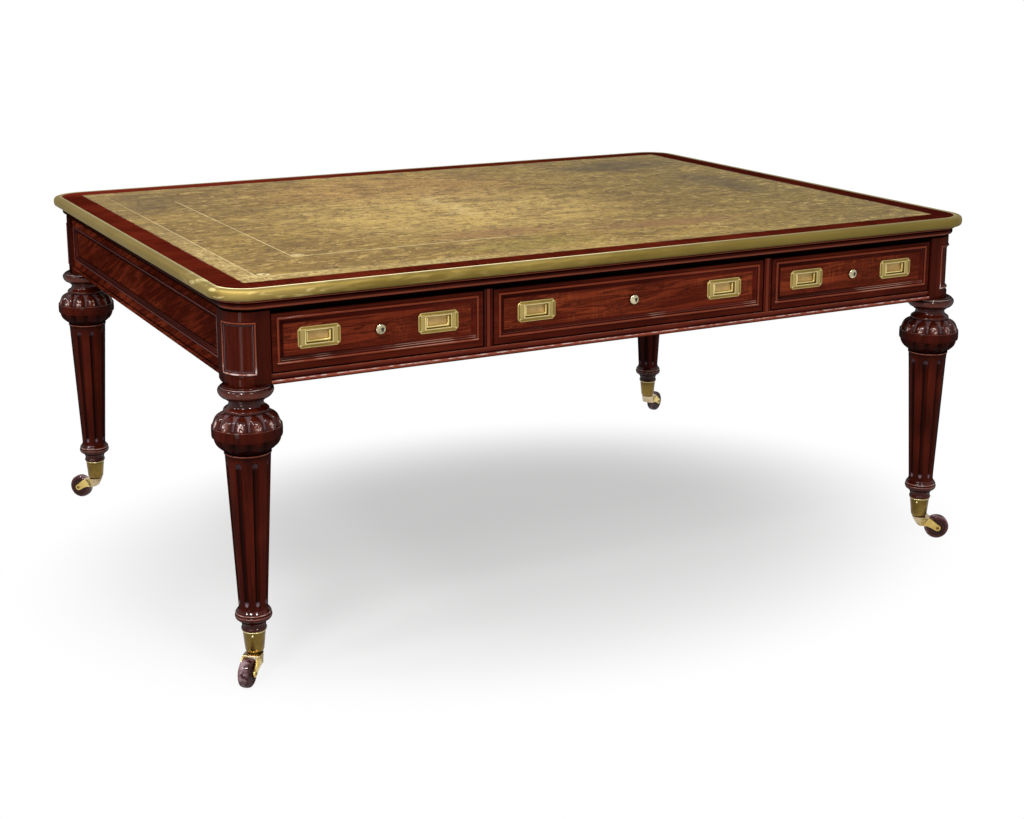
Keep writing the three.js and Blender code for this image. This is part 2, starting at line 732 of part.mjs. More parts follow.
// U-shaped bail with its pivot pins, hanging from the origin
function bailSolid() {
  const halfLength = panLength / 2 - bailClearance;
  const drop = panHeight - 2 * bailClearance - bailWire / 2;
  const bar = bailWire * 1.1;
  const outline = new THREE.Shape();
  const round = bar * 0.9;
  outline.moveTo(-halfLength, bailWire / 2);
  outline.lineTo(-halfLength, round - drop);
  outline.lineTo(round - halfLength, -drop);
  outline.lineTo(halfLength - round, -drop);
  outline.lineTo(halfLength, round - drop);
  outline.lineTo(halfLength, bailWire / 2);
  outline.lineTo(halfLength - bar, bailWire / 2);
  outline.lineTo(halfLength - bar, bar - drop + round / 2);
  outline.lineTo(halfLength - bar - round / 2, bar - drop);
  outline.lineTo(bar + round / 2 - halfLength, bar - drop);
  outline.lineTo(bar - halfLength, bar - drop + round / 2);
  outline.lineTo(bar - halfLength, bailWire / 2);
  const bevel = bailWire / 5;
  const geometry = new THREE.ExtrudeGeometry(outline, {
    depth: bailWire - 2 * bevel,
    bevelEnabled: true,
    bevelThickness: bevel,
    bevelSize: bevel,
    bevelOffset: -bevel,
    bevelSegments: 1,
  });
  geometry.translate(0, 0, bevel - bailWire / 2);
  geometry.rotateX(Math.PI / 2);
  const pinRadius = bailWire * 0.35;
  const pinReach = panLength / 2 - sideClearance;
  let bail = solidFrom(geometry);
  [-1, 1].forEach((sign) => {
    const pin = new THREE.CylinderGeometry(pinRadius, pinRadius, pinReach - halfLength + bar / 2, pinFacets);
    pin.rotateZ(Math.PI / 2);
    pin.translate(sign * (pinReach + halfLength - bar / 2) / 2, 0, 0);
    bail = bail.add(solidFrom(pin));
  });
  return bail;
}

// Domed lock barrel, its shank let into the drawer front, or the wider bore cut for it
function lockGeometry(grow = 0) {
  const radius = lockRadius + grow;
  const domeShares = [[1, 0.62], [0.93, 0.84], [0.72, 0.97], [0.4, 1], [0, 1]];
  const boreShares = [[1, 1], [0, 1]];
  const headShares = grow > 0 ? boreShares : domeShares;
  const head = headShares.map(([radiusShare, reachShare]) => (
    new THREE.Vector2(radius * radiusShare, lockReach * reachShare)
  ));
  const points = [new THREE.Vector2(0, -lockShank), new THREE.Vector2(radius, -lockShank), ...head];
  const geometry = new THREE.LatheGeometry(points, lockFacets);
  geometry.rotateX(Math.PI / 2);
  return geometry;
}

// Drawers with their fronts, boxes, handles and locks
function addDrawers() {
  const plate = solidFrom(handlePlateGeometry(), facingFront(0, 0, 0));
  const plateSeat = handlePlateGeometry(sideClearance);
  const bail = bailSolid();
  const lock = solidFrom(lockGeometry(), facingFront(0, 0, 0));
  const lockSeat = lockGeometry(sideClearance);
  const pivotPlane = fieldPlane + panDepth / 2 - handlePlateProud;
  const pivotHeight = handleHeight + panHeight / 2 - bailClearance - bailWire / 2;
  drawers.forEach((drawer) => {
    const group = new THREE.Group();
    group.position.x = drawer.x;
    table.add(group);
    let front = drawerFrontSolid(drawer.width);
    [-1, 1].forEach((sign) => {
      const x = sign * drawer.width * drawer.spreadShare / 2;
      front = front.subtract(solidFrom(plateSeat, facingFront(x, fieldPlane, handleHeight)));
      const side = sign < 0 ? "left" : "right";
      const platePiece = addPiece(group, `handle_plate_${drawer.name}_${side}`, plate, "brass");
      platePiece.position.set(x, fieldPlane, handleHeight);
      const bailPiece = addPiece(group, `handle_bail_${drawer.name}_${side}`, bail, "brass");
      bailPiece.position.set(x, pivotPlane, pivotHeight);
    });
    front = front.subtract(solidFrom(lockSeat, facingFront(0, fieldPlane, handleHeight)));
    addPiece(group, `drawer_front_${drawer.name}`, front, "flameMahogany");
    addPiece(group, `drawer_box_${drawer.name}`, drawerBoxSolid(drawer.width), "carcase");
    const lockPiece = addPiece(group, `drawer_lock_${drawer.name}`, lock, "brass");
    lockPiece.position.set(0, fieldPlane, handleHeight);
  });
}

addTop();
addCornice();
addLegs();
addFrieze();
addDrawers();

export default table;
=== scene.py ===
"""Library table: leather-lined top, three-drawer frieze, four carved legs on brass castors."""

import math

import bmesh
import bpy
from mathutils import Matrix, Vector


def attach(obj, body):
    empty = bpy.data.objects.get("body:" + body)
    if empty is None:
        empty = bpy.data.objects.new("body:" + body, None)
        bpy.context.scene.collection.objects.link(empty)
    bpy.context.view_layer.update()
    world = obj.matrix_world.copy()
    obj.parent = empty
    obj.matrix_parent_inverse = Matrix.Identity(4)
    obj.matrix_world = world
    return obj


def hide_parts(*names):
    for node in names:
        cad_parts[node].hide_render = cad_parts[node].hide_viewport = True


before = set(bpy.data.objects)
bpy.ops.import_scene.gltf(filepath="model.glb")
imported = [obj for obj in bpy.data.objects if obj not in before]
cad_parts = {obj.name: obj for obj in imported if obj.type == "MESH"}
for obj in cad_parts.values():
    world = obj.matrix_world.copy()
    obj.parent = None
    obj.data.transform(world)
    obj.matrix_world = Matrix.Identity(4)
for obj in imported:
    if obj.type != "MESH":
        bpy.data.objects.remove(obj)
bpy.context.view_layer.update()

MM = 0.001
QUARTER = math.pi / 2
WELD = 0.01

# Corners: sides along X and Y, turn of the post, lie of the castor and of the screw in its cup
CORNERS = {
    "front_left": (-1, -1, 0, -130, -118),
    "front_right": (1, -1, 90, -30, -147),
    "back_right": (1, 1, 180, 29, 60),
    "back_left": (-1, 1, 270, 133.5, 120),
}
SIDES = {"left": -1, "right": 1}
LEG_X = 810.5
LEG_Y = 587.5

# Top: half sizes of the leather and of its border, and the radius of its corners
LEATHER_X = 806
LEATHER_Y = 583
BORDER_X = 856
BORDER_Y = 633
TOP_RADIUS = 58

# Frieze: its top, the rail below the drawers, and the stiles on it
FRIEZE_TOP = 716
FRONT_FOOT = 577
FRONT_TOP = 596.5
FRONT_PLANE = -621
FRONT_HALF = 773
STILE_X = 329.5
STILE_HEIGHT = 114.5

# Drawers: middle, half width and how far each handle is from the middle
DRAWERS = {
    "left": (-555.5, 216.5, 121.0),
    "middle": (0.0, 320.0, 222.08),
    "right": (555.5, 216.5, 121.0),
}
DRAWER_FOOT = 597.5
DRAWER_TOP = 710.5
FIELD_PLANE = -617.0
HANDLE_HEIGHT = 657.0
BAIL_PLANE = -613.0
BAIL_HEIGHT = 665.3

# Half the size of the seat that is sunk for a handle
SEAT_X = 27
SEAT_Y = 13


# Shapes

def new_shape():
    """An empty shape whose places can note their painted shade or painted highlight."""
    shape = bmesh.new()
    shape.verts.layers.float.new("depth")
    return shape


def between(value, stops):
    """Reads a level off (value, level) stops, straight from one to the next."""
    for (low, start), (high, end) in zip(stops, stops[1:]):
        if value < high:
            return start + (end - start) * max(0, value - low) / (high - low)
    return stops[-1][1]


def off_axis(place):
    return math.hypot(place.x, place.y)


def mark(shape, stops, measure=lambda place: place.z):
    """Notes how each place is painted: towards 1 for painted shade in a quirk, towards -1 for a painted
    highlight on a crest.
    """
    depth = shape.verts.layers.float["depth"]
    for vert in shape.verts:
        vert[depth] = between(measure(vert.co), stops)


def wire(shape, points, closed=False):
    """A chain of vertices, open or closed."""
    verts = [shape.verts.new(point) for point in points]
    pairs = list(zip(verts, verts[1:]))
    if closed:
        pairs.append((verts[-1], verts[0]))
    return verts, [shape.edges.new(pair) for pair in pairs]


def close_up(shape):
    """Joins what meets and turns every face outwards."""
    bmesh.ops.remove_doubles(shape, verts=shape.verts, dist=0.002)
    bmesh.ops.recalc_face_normals(shape, faces=shape.faces)


def fill_rims(shape):
    rims = [edge for edge in shape.edges if edge.is_boundary]
    bmesh.ops.edgeloop_fill(shape, edges=rims)


def arc(radius, start, end, count, centre=(0, 0)):
    """Points on an arc in degrees, both ends among them."""
    angles = [math.radians(start + (end - start) * step / count) for step in range(count + 1)]
    return [(centre[0] + radius * math.cos(a), centre[1] + radius * math.sin(a)) for a in angles]


def smooth_outline(spacing, points):
    """The smooth curve through an outline's points, cut about every so many millimetres."""
    result = []
    last = len(points) - 1
    for index in range(last):
        places = [max(index - 1, 0), index, index + 1, min(index + 2, last)]
        before, start, end, after = [Vector(points[place]) for place in places]
        count = max(1, round((end - start).length / spacing))
        for step in range(count):
            t = step / count
            bend = (end - before) * t + (2 * before - 5 * start + 4 * end - after) * t * t
            bend += (3 * start - before - 3 * end + after) * t ** 3
            result.append(tuple(start + bend / 2))
    return result + [points[-1]]


def turned(shape, outline, steps, closed=False):
    """Turns an outline of (radius, height) points about the upright axis."""
    verts, edges = wire(shape, [(radius, 0, height) for radius, height in outline], closed)
    bmesh.ops.spin(
        shape, geom=verts + edges, cent=(0, 0, 0), axis=(0, 0, 1),
        angle=2 * math.pi, steps=steps, use_merge=True,
    )
    close_up(shape)


def sorted_out(parts):
    """The vertices and the edges among some parts."""
    verts = [part for part in parts if isinstance(part, bmesh.types.BMVert)]
    edges = [part for part in parts if isinstance(part, bmesh.types.BMEdge)]
    return verts, edges


def pull(shape, edges, run):
    """Pulls edges out by a run and gives the new vertices and edges."""
    verts, edges = sorted_out(bmesh.ops.extrude_edge_only(shape, edges=edges)["geom"])
    bmesh.ops.translate(shape, vec=run, verts=verts)
    return verts, edges


def thicken(shape, faces, run):
    """Pulls faces out by a run, into a closed body."""
    verts = sorted_out(bmesh.ops.extrude_face_region(shape, geom=faces)["geom"])[0]
    bmesh.ops.translate(shape, vec=run, verts=verts)
    bmesh.ops.recalc_face_normals(shape, faces=shape.faces)


def prism(shape, points, run):
    """A closed outline pulled out by a run."""
    verts = wire(shape, points, True)[0]
    thicken(shape, [shape.faces.new(verts)], run)


def carried_round(shape, section, half_length, half_width, radius, steps, closed):
    """Carries a section of (reach, height) points round the rounded outline of the table."""
    start = Vector((radius - half_length, -half_width, 0))
    points = [start + Vector((0, -reach, height)) for reach, height in section]
    edges = wire(shape, points, closed)[1]
    for corner, (side_x, side_y) in enumerate([(1, -1), (1, 1), (-1, 1), (-1, -1)]):
        across = half_length if corner % 2 == 0 else half_width
        run = Matrix.Rotation(corner * QUARTER, 3, "Z") @ Vector((2 * (across - radius), 0, 0))
        verts, edges = pull(shape, edges, run)
        centre = (side_x * (half_length - radius), side_y * (half_width - radius), 0)
        bent = bmesh.ops.spin(
            shape, geom=verts + edges, cent=centre, axis=(0, 0, 1), angle=QUARTER, steps=steps,
        )
        edges = sorted_out(bent["geom_last"])[1]
    bmesh.ops.remove_doubles(shape, verts=shape.verts, dist=WELD)
    if not closed:
        fill_rims(shape)
    close_up(shape)


def block(shape, low, high):
    """A squared-up blank between two corners."""
    low, high = Vector(low), Vector(high)
    verts = bmesh.ops.create_cube(shape, size=1)["verts"]
    bmesh.ops.scale(shape, vec=high - low, verts=verts)
    bmesh.ops.translate(shape, vec=(low + high) / 2, verts=verts)
    shape.normal_update()


def ruled_grid(shape, lines_x, lines_y):
    """A flat grid with its lines at given places."""
    count_x, count_y = len(lines_x) - 1, len(lines_y) - 1
    bmesh.ops.create_grid(shape, x_segments=count_x, y_segments=count_y, size=1)
    for vert in shape.verts:
        vert.co.x = lines_x[round((vert.co.x + 1) * count_x / 2)]
        vert.co.y = lines_y[round((vert.co.y + 1) * count_y / 2)]
    shape.normal_update()


def face_towards(faces, direction):
    """The face that lies furthest out in a direction."""
    direction = Vector(direction)
    facing = [face for face in faces if face.normal.dot(direction) > 0.9]
    return max(facing, key=lambda face: face.calc_center_median().dot(direction))


def face_at(shape, place):
    """The face whose middle is nearest to a place."""
    shape.normal_update()
    place = Vector(place)
    return min(shape.faces, key=lambda face: (face.calc_center_median() - place).length)


def stepped(shape, face, steps):
    """Works a face in mitred steps: how far in from its edge, how far up, and its painted shade or painted
    highlight.
    """
    depth = shape.verts.layers.float["depth"]
    last_inset, last_level = 0, 0
    for inset, level, *note in steps:
        bmesh.ops.inset_region(
            shape, faces=[face], use_boundary=True, use_even_offset=True,
            thickness=inset - last_inset, depth=level - last_level,
        )
        for vert in face.verts:
            vert[depth] = note[0] if note else 0
        last_inset, last_level = inset, level


def cut_across(shape, places, axis, faces=None):
    """Cuts lines across a shape, or across some of its faces, at places along an axis."""
    normal = Vector((0, 0, 0))
    normal[axis] = 1
    for place in places:
        if faces is None:
            geom = shape.verts[:] + shape.edges[:] + shape.faces[:]
        else:
            geom = {face for face in faces if face.is_valid}
            geom |= {part for face in list(geom) for part in list(face.verts) + list(face.edges)}
            geom = list(geom)
        cut = bmesh.ops.bisect_plane(shape, geom=geom, plane_co=normal * place, plane_no=normal)
        if faces is not None:
            faces += [part for part in cut["geom"] if isinstance(part, bmesh.types.BMFace)]


def move_to(shape, place, turn=0, axis="Z"):
    """Turns a shape about an axis, in degrees, and moves it to its place."""
    matrix = Matrix.Translation(place) @ Matrix.Rotation(math.radians(turn), 4, axis)
    bmesh.ops.transform(shape, matrix=matrix, verts=shape.verts)


def face_front(shape, place):
    """Stands a shape that was drawn facing up so that it faces the front, then places it."""
    move_to(shape, place, 90, "X")


def add_shape(shape, other):
    """Adds one shape to another."""
    mesh = bpy.data.meshes.new("joined")
    other.to_mesh(mesh)
    other.free()
    shape.from_mesh(mesh)
    bpy.data.meshes.remove(mesh)


def show(name, data):
    """Puts a mesh, a lamp or a camera into the scene."""
    obj = bpy.data.objects.new(name, data)
    bpy.context.scene.collection.objects.link(obj)
    return obj


def piece(name, shape, body, coats, nodes, sharp=32):
    """Makes a finished piece of a shape in millimetres and hangs it on its body."""
    bmesh.ops.scale(shape, vec=(MM, MM, MM), verts=shape.verts)
    mesh = bpy.data.meshes.new(name)
    shape.to_mesh(mesh)
    shape.free()
    mesh.shade_smooth()
    mesh.set_sharp_from_angle(angle=math.radians(sharp))
    for coat in coats:
        mesh.materials.append(FINISHES[coat])
    obj = show(name, mesh)
    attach(obj, body)
    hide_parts(*nodes)


# Finishes: colours are written as they look, 0 to 255

def tone(*levels):
    """A colour made linear for the shader."""
    shares = [level / 255 for level in levels]
    linear = [s / 12.92 if s <= 0.04045 else ((s + 0.055) / 1.055) ** 2.4 for s in shares]
    return (*linear, 1)


def worked(operation, reflected=False):
    """An operator for levels, which adds the node of one operation."""
    def operator(level, *others):
        numbers = (*others, level) if reflected else (level, *others)
        settings = {"operation": operation}
        return level.finish.add("ShaderNodeMath", settings, dict(enumerate(numbers)))
    return operator


class Level:
    """A number that changes over a surface: sums on it add the nodes that work them out."""

    def __init__(self, finish, socket):
        self.finish = finish
        self.socket = socket

    __add__ = __radd__ = worked("ADD")
    __sub__ = worked("SUBTRACT")
    __rsub__ = worked("SUBTRACT", reflected=True)
    __mul__ = __rmul__ = worked("MULTIPLY")
    __truediv__ = worked("DIVIDE")
    __pow__ = worked("POWER")
    __abs__ = worked("ABSOLUTE")
    least = worked("MINIMUM")
    most = worked("MAXIMUM")

    def ramp(self, start, end, low=0, high=1):
        """Goes smoothly from low to high as the number goes from start to end."""
        settings = {"interpolation_type": "SMOOTHSTEP"}
        names = ("Value", "From Min", "From Max", "To Min", "To Max")
        sockets = dict(zip(names, (self, start, end, low, high)))
        return self.finish.add("ShaderNodeMapRange", settings, sockets)

    def near(self, middle, reach):
        """1 at the middle and 0 from that reach away on."""
        return abs(self - middle).ramp(reach, 0)


class Finish:
    """A material or the world under way: its nodes, and the shader that ends them."""

    def __init__(self, name, owner=None):
        self.material = owner or bpy.data.materials.new(name)
        self.material.use_nodes = True
        self.nodes = self.material.node_tree.nodes
        self.links = self.material.node_tree.links
        self.shader = self.nodes.get("Principled BSDF") or self.nodes["Background"]
        self.coordinates = None

    def add(self, kind, settings, sockets, output=0):
        """A node of a kind, its settings made first and then the values or links of its sockets."""
        node = self.nodes.new(kind)
        for name, setting in settings.items():
            setattr(node, name, setting)
        for key, value in sockets.items():
            self.join(node.inputs[key], value)
        return Level(self, node.outputs[output])

    def join(self, socket, value):
        if isinstance(value, Level):
            self.links.new(value.socket, socket)
        else:
            socket.default_value = value

    def set(self, name, value):
        """Sets or links a socket of the shader."""
        self.join(self.shader.inputs[name], value)

    def place(self, scale=1, turn=(0, 0, 0), move=(0, 0, 0)):
        """Places on the piece, in metres, turned and then stretched for a pattern."""
        if self.coordinates is None:
            self.coordinates = self.add("ShaderNodeTexCoord", {}, {}, "Object")
        where = self.coordinates
        if any(turn):
            where = self.add("ShaderNodeMapping", {}, {"Vector": where, "Rotation": turn})
        scale = (scale,) * 3 if isinstance(scale, (int, float)) else scale
        return self.add("ShaderNodeMapping", {}, {"Vector": where, "Location": move, "Scale": scale})

    def axes(self):
        """The three coordinates of a place on the piece, in millimetres."""
        where = self.place(1000)
        return [self.add("ShaderNodeSeparateXYZ", {}, {0: where}, axis) for axis in range(3)]

    def depth(self):
        """How much painted shade a place has in a quirk, and how much painted highlight on a crest, each 0
        to 1.
        """
        level = self.add("ShaderNodeAttribute", {"attribute_name": "depth"}, {}, "Fac")
        return level.most(0), (0 - level).most(0)

    def noise(self, scale, detail=3, roughness=0.5, distortion=0.0, turn=(0, 0, 0), move=(0, 0, 0)):
        names = ("Vector", "Scale", "Detail", "Roughness", "Distortion")
        values = (self.place(scale, turn, move), 1.0, detail, roughness, distortion)
        return self.add("ShaderNodeTexNoise", {}, dict(zip(names, values)))

    def blend(self, share, first, second):
        """A colour between two colours."""
        pair = [tone(*colour) if isinstance(colour, tuple) else colour for colour in (first, second)]
        sockets = {0: share, 6: pair[0], 7: pair[1]}
        return self.add("ShaderNodeMix", {"data_type": "RGBA"}, sockets, 2)

    def over(self, under, *layers):
        """Lays colours over one another, each with its share."""
        for share, colour in layers:
            under = self.blend(share, under, colour)
        return under

    def bump(self, height, strength, distance):
        """Relief from a height over the surface."""
        sockets = {"Height": height, "Strength": strength, "Distance": distance}
        self.set("Normal", self.add("ShaderNodeBump", {}, sockets))

    def surface(self, colour, roughness, metallic=0.0):
        """Sets the main sockets and hands over the finished material."""
        self.set("Base Color", colour)
        self.set("Roughness", roughness)
        self.set("Metallic", metallic)
        return self.material


def grained(across, lengthwise, axis):
    """Scales of a pattern that is drawn out along the grain."""
    scales = [across] * 3
    scales[axis] = lengthwise
    return scales


def polish(finish, shine, fade):
    """French polish: a thin clear film that dies away where the wood turns from the eye."""
    away = finish.add("ShaderNodeLayerWeight", {}, {"Blend": 0.5}, "Facing")
    finish.set("Coat Weight", away.ramp(*fade, 1, 0) * shine)
    finish.set("Coat Roughness", 0.07)
    finish.set("Coat IOR", 1.42)
    finish.set("Specular IOR Level", 0.0)
    return away


def mahogany(name, dark, middle, light, along, coat, painted_sheen=(150, 66, 36), shade=0.0, highlight_heights=()):
    """Plain mahogany: straight grain along one axis, with painted shade in the quirks and painted highlights
    on the crests.
    """
    finish = Finish(name)
    streaks = finish.noise(grained(420, 9, along), 4, 0.6, 0.35)
    bands = finish.noise(grained(34, 2.2, along), 3, 0.55, 0.8)
    clouds = finish.noise(5.5, 2, 0.5, 0.4, move=(3.1, 0.4, 1.7))
    dashes = finish.noise(48, 2).ramp(0.4, 0.62)
    pitting = finish.noise(grained(1500, 60, along), 2).ramp(0.6, 0.72)
    deep, crest_highlight = finish.depth()
    grain = streaks.ramp(0.3, 0.7) * 0.45 + bands.ramp(0.32, 0.68) * 0.55
    away = polish(finish, (crest_highlight * 0.25 + coat) * (1 - deep), (0.45, 0.85))
    layers = [
        (clouds.ramp(0.45, 0.75) * grain * 0.8, light),
        (pitting * 0.35, (22, 6, 4)),
        # Painted highlights: an orange sheen on the crests, pale streaks on the highest.
        (crest_highlight.ramp(0, 0.75) * (streaks * 0.6 + 0.35), painted_sheen),
        (crest_highlight.ramp(0.86, 0.97) * (dashes * 0.75 + 0.1), (216, 196, 190)),
    ]
    if highlight_heights:
        # Painted highlight: pale lines at the given heights of the lower moulding.
        y, z = finish.axes()[1:]
        patchy = finish.noise(9, 3, 0.6, move=(1.3, 0, 0)).ramp(0.46, 0.6, 0.1, 0.8)
        rubbing_and_sheen = z.near(highlight_heights[0], 0.9)
        for line in highlight_heights[1:]:
            rubbing_and_sheen = rubbing_and_sheen.most(z.near(line, 0.9) * y.ramp(-621.2, -620.9))
        layers.append((rubbing_and_sheen * patchy, (200, 162, 142)))
    # Painted shade where the surface turns away from the eye.
    if shade:
        layers.append((away.ramp(0.4, 0.75) * shade, (14, 4, 2)))
    # Painted shade in the quirks.
    layers.append((deep, (12, 4, 3)))
    finish.bump(streaks * 0.5 + pitting * -0.5, 0.12, 0.0004)
    colour = finish.over(finish.blend(grain, dark, middle), *layers)
    return finish.surface(colour, streaks * 0.16 + 0.34)


def flame_mahogany(name, dark, middle, light, along, turn, seed, flecked=0.0):
    """Figured mahogany: long streaks, with short cross flecks where the figure turns to flames."""
    finish = Finish(name)
    streaks = finish.noise(grained(520, 14, along), 4, 0.6, 0.5, turn)
    flames = finish.noise(grained(75, 5, along), 4, 0.6, 0.9, turn, seed)
    cross = finish.noise(grained(26, 170, along), 3, 0.55, 0.9, turn, seed)
    patches = finish.noise((5, 5, 11), 2, 0.5, 0.5, move=seed)
    ticks = finish.noise((460, 460, 60), 3, 0.6, 0.3)
    deep = finish.depth()[0]
    figure = flames.ramp(0.34, 0.68) * 0.65 + streaks.ramp(0.3, 0.7) * 0.35
    colour = finish.over(
        finish.blend(figure, dark, middle),
        (patches.ramp(0.4, 0.7) * figure * 0.6, light),
        (cross.ramp(0.5, 0.64) * patches.ramp(0.5 - flecked, 0.74 - flecked) * 0.8, light),
        (flames.near(0.5, 0.04) * 0.6, (38, 10, 6)),
        (ticks.ramp(0.5, 0.7) * 0.4, (50, 15, 9)),
        # Painted shade in the quirks.
        (deep, (13, 4, 3)),
    )
    finish.bump(streaks, 0.08, 0.0003)
    polish(finish, 0.05, (0.4, 0.75))
    return finish.surface(colour, streaks * 0.14 + 0.36)


def leg_mahogany(name):
    """The legs' wood: darker down the shaft than on the post, with painted shade in the hollows and on the
    lower lobes, and painted highlights and pale painted reflections on the carving.
    """
    finish = Finish(name)
    z = finish.axes()[2]
    streaks = finish.noise((380, 380, 8), 4, 0.6, 0.4)
    dashes = finish.noise(60, 2).ramp(0.42, 0.6)
    bands = finish.noise((30, 30, 3), 3, 0.55, 0.9)
    clouds = finish.noise((9, 9, 6), 2, 0.5, 0.4)
    glints = finish.noise((190, 190, 130), 2, 0.6, 0.8).ramp(0.5, 0.6)
    deep, crest_highlight = finish.depth()
    grain = streaks.ramp(0.3, 0.7) * 0.4 + bands.ramp(0.32, 0.68) * 0.6
    leg = finish.blend(grain, (42, 9, 4), (78, 23, 11))
    post = finish.blend(grain, (50, 11, 5), (78, 25, 12))
    turned_parts = z.ramp(496, 502) * z.ramp(579, 577) + z.ramp(144, 142)
    shine = turned_parts * 0.4 + crest_highlight * 0.3 + 0.08
    away = polish(finish, shine * (1 - deep * 0.6), (0.55, 0.85))
    lobes = z.ramp(496, 500) * z.ramp(530, 526)
    # Painted highlight: broken pale streaks, with glints on the lobes.
    bright = (dashes * 0.75 + 0.15) * (1 - lobes) + glints * lobes * 0.9
    flute = deep * z.ramp(442, 440) * z.ramp(144, 146)
    flute_ends = flute.ramp(0.15, 0.4) * (z.ramp(421, 430) * 0.28 + z.ramp(162, 154) * 0.9)
    groove = deep.ramp(0.45, 0.6) * deep.ramp(0.78, 0.72)
    colour = finish.over(
        finish.blend(z.ramp(500, 580), leg, post),
        (clouds.ramp(0.5, 0.8) * 0.35, (112, 40, 22)),
        # Painted shade on the lower lobes, which face down.
        (z.ramp(483, 470) * z.ramp(432, 446) * 0.55, (24, 6, 3)),
        # Painted highlights: an orange sheen on the crests, pale streaks on the highest.
        (crest_highlight.ramp(0, 0.6) * (streaks * 0.6 + 0.4) * (1 - lobes * 0.7), (150, 70, 42)),
        (crest_highlight.ramp(0.86, 0.97) * bright, (214, 192, 186)),
        # Painted shade over the torus, except on its crests.
        (z.ramp(549, 552) * z.ramp(578, 574) * (1 - crest_highlight) * 0.55, (38, 8, 3)),
        # Painted shade where the leg turns away from the eye.
        (away.ramp(0.35, 0.95) * 0.85, (12, 3, 2)),
        # Painted shade in the grooves of the lower lobes, painted reflection pale in those of the upper
        # lobes.
        (groove * 0.6, finish.blend(z.ramp(480, 500), (30, 15, 15), (108, 84, 86))),
        # Painted shade in the flutes.
        (flute * 0.85, (14, 5, 4)),
        # Painted highlight at the ends of the flutes.
        (flute_ends, (132, 112, 122)),
        # Painted shade in the deepest quirks.
        (deep.ramp(0.78, 0.95), (10, 3, 3)),
    )
    finish.bump(streaks, 0.1, 0.0004)
    return finish.surface(colour, streaks * 0.14 + 0.3)


def crossband(name):
    """Veneer border of the top: grain runs out to the edge on all four sides, mitred."""
    finish = Finish(name)
    x, y = finish.axes()[:2]
    on_ends = (abs(x) - abs(y) - (LEATHER_X - LEATHER_Y)).ramp(-1.5, 1.5)
    along_y = finish.noise((420, 12, 40), 4, 0.6, 0.5)
    along_x = finish.noise((12, 420, 40), 4, 0.6, 0.5)
    streaks = along_y * (1 - on_ends) + along_x * on_ends
    clouds = finish.noise(7, 3, 0.6, 0.6)
    painted_sheen = finish.noise(60, 3, 0.6).ramp(0.42, 0.7)
    inner = (abs(x) - LEATHER_X).most(abs(y) - LEATHER_Y)
    outer = (abs(x) - BORDER_X).most(abs(y) - BORDER_Y)
    wood = finish.over(
        finish.blend(streaks.ramp(0.3, 0.7), (56, 14, 8), (94, 29, 16)),
        (clouds.ramp(0.4, 0.72) * 0.45, (120, 44, 25)),
        (y.ramp(540, 620) * x.ramp(300, -500) * 0.7, (126, 42, 30)),
        (x.ramp(500, 850) * 0.5, (48, 12, 10)),
        # Painted highlight along the leather's edge.
        (inner.near(1.0, 2.0) * painted_sheen * 0.75, (150, 128, 126)),
        (outer.ramp(-3, 0) * 0.5, (32, 9, 6)),
    )
    finish.bump(streaks, 0.08, 0.0004)
    polish(finish, 0.03, (0.5, 0.72))
    return finish.surface(wood, clouds * 0.16 + 0.32)


def carcase_wood(name, light, dark, along):
    """Unpolished wood inside the table."""
    finish = Finish(name)
    streaks = finish.noise(grained(260, 6, along), 4, 0.6, 0.5)
    clouds = finish.noise(4, 3, 0.5, 0.4)
    colour = finish.blend(streaks.ramp(0.28, 0.72), dark, light)
    colour = finish.over(colour, (clouds.ramp(0.5, 0.8) * 0.4, dark))
    finish.bump(streaks, 0.25, 0.0006)
    return finish.surface(colour, streaks * 0.15 + 0.62)


def brass(name, bright, dull, roughness, spots=0.3):
    """Lacquered brass with slow tarnish, fine rubbing, small dull spots and painted highlights on the rims.
    """
    finish = Finish(name)
    clouds = finish.noise((22, 22, 30), 4, 0.6, 0.6)
    rubbing_and_sheen = finish.noise(700, 2)
    specks = finish.noise(190, 2).ramp(0.66, 0.76)
    deep, crest_highlight = finish.depth()
    colour = finish.over(
        finish.blend(clouds.ramp(0.34, 0.68), bright, dull),
        (specks * spots, (92, 72, 34)),
        # Painted highlight on the crests and rims.
        (crest_highlight, (238, 224, 162)),
        (deep, (74, 56, 24)),
    )
    finish.bump(rubbing_and_sheen * 0.4 + clouds, 0.06, 0.0008)
    rough = clouds * 0.16 + rubbing_and_sheen * 0.06 + (roughness - 0.1) + specks * 0.1
    return finish.surface(colour, rough, 1.0)


def length(x, y):
    """How far a place is from the middle."""
    return (x * x + y * y) ** 0.5


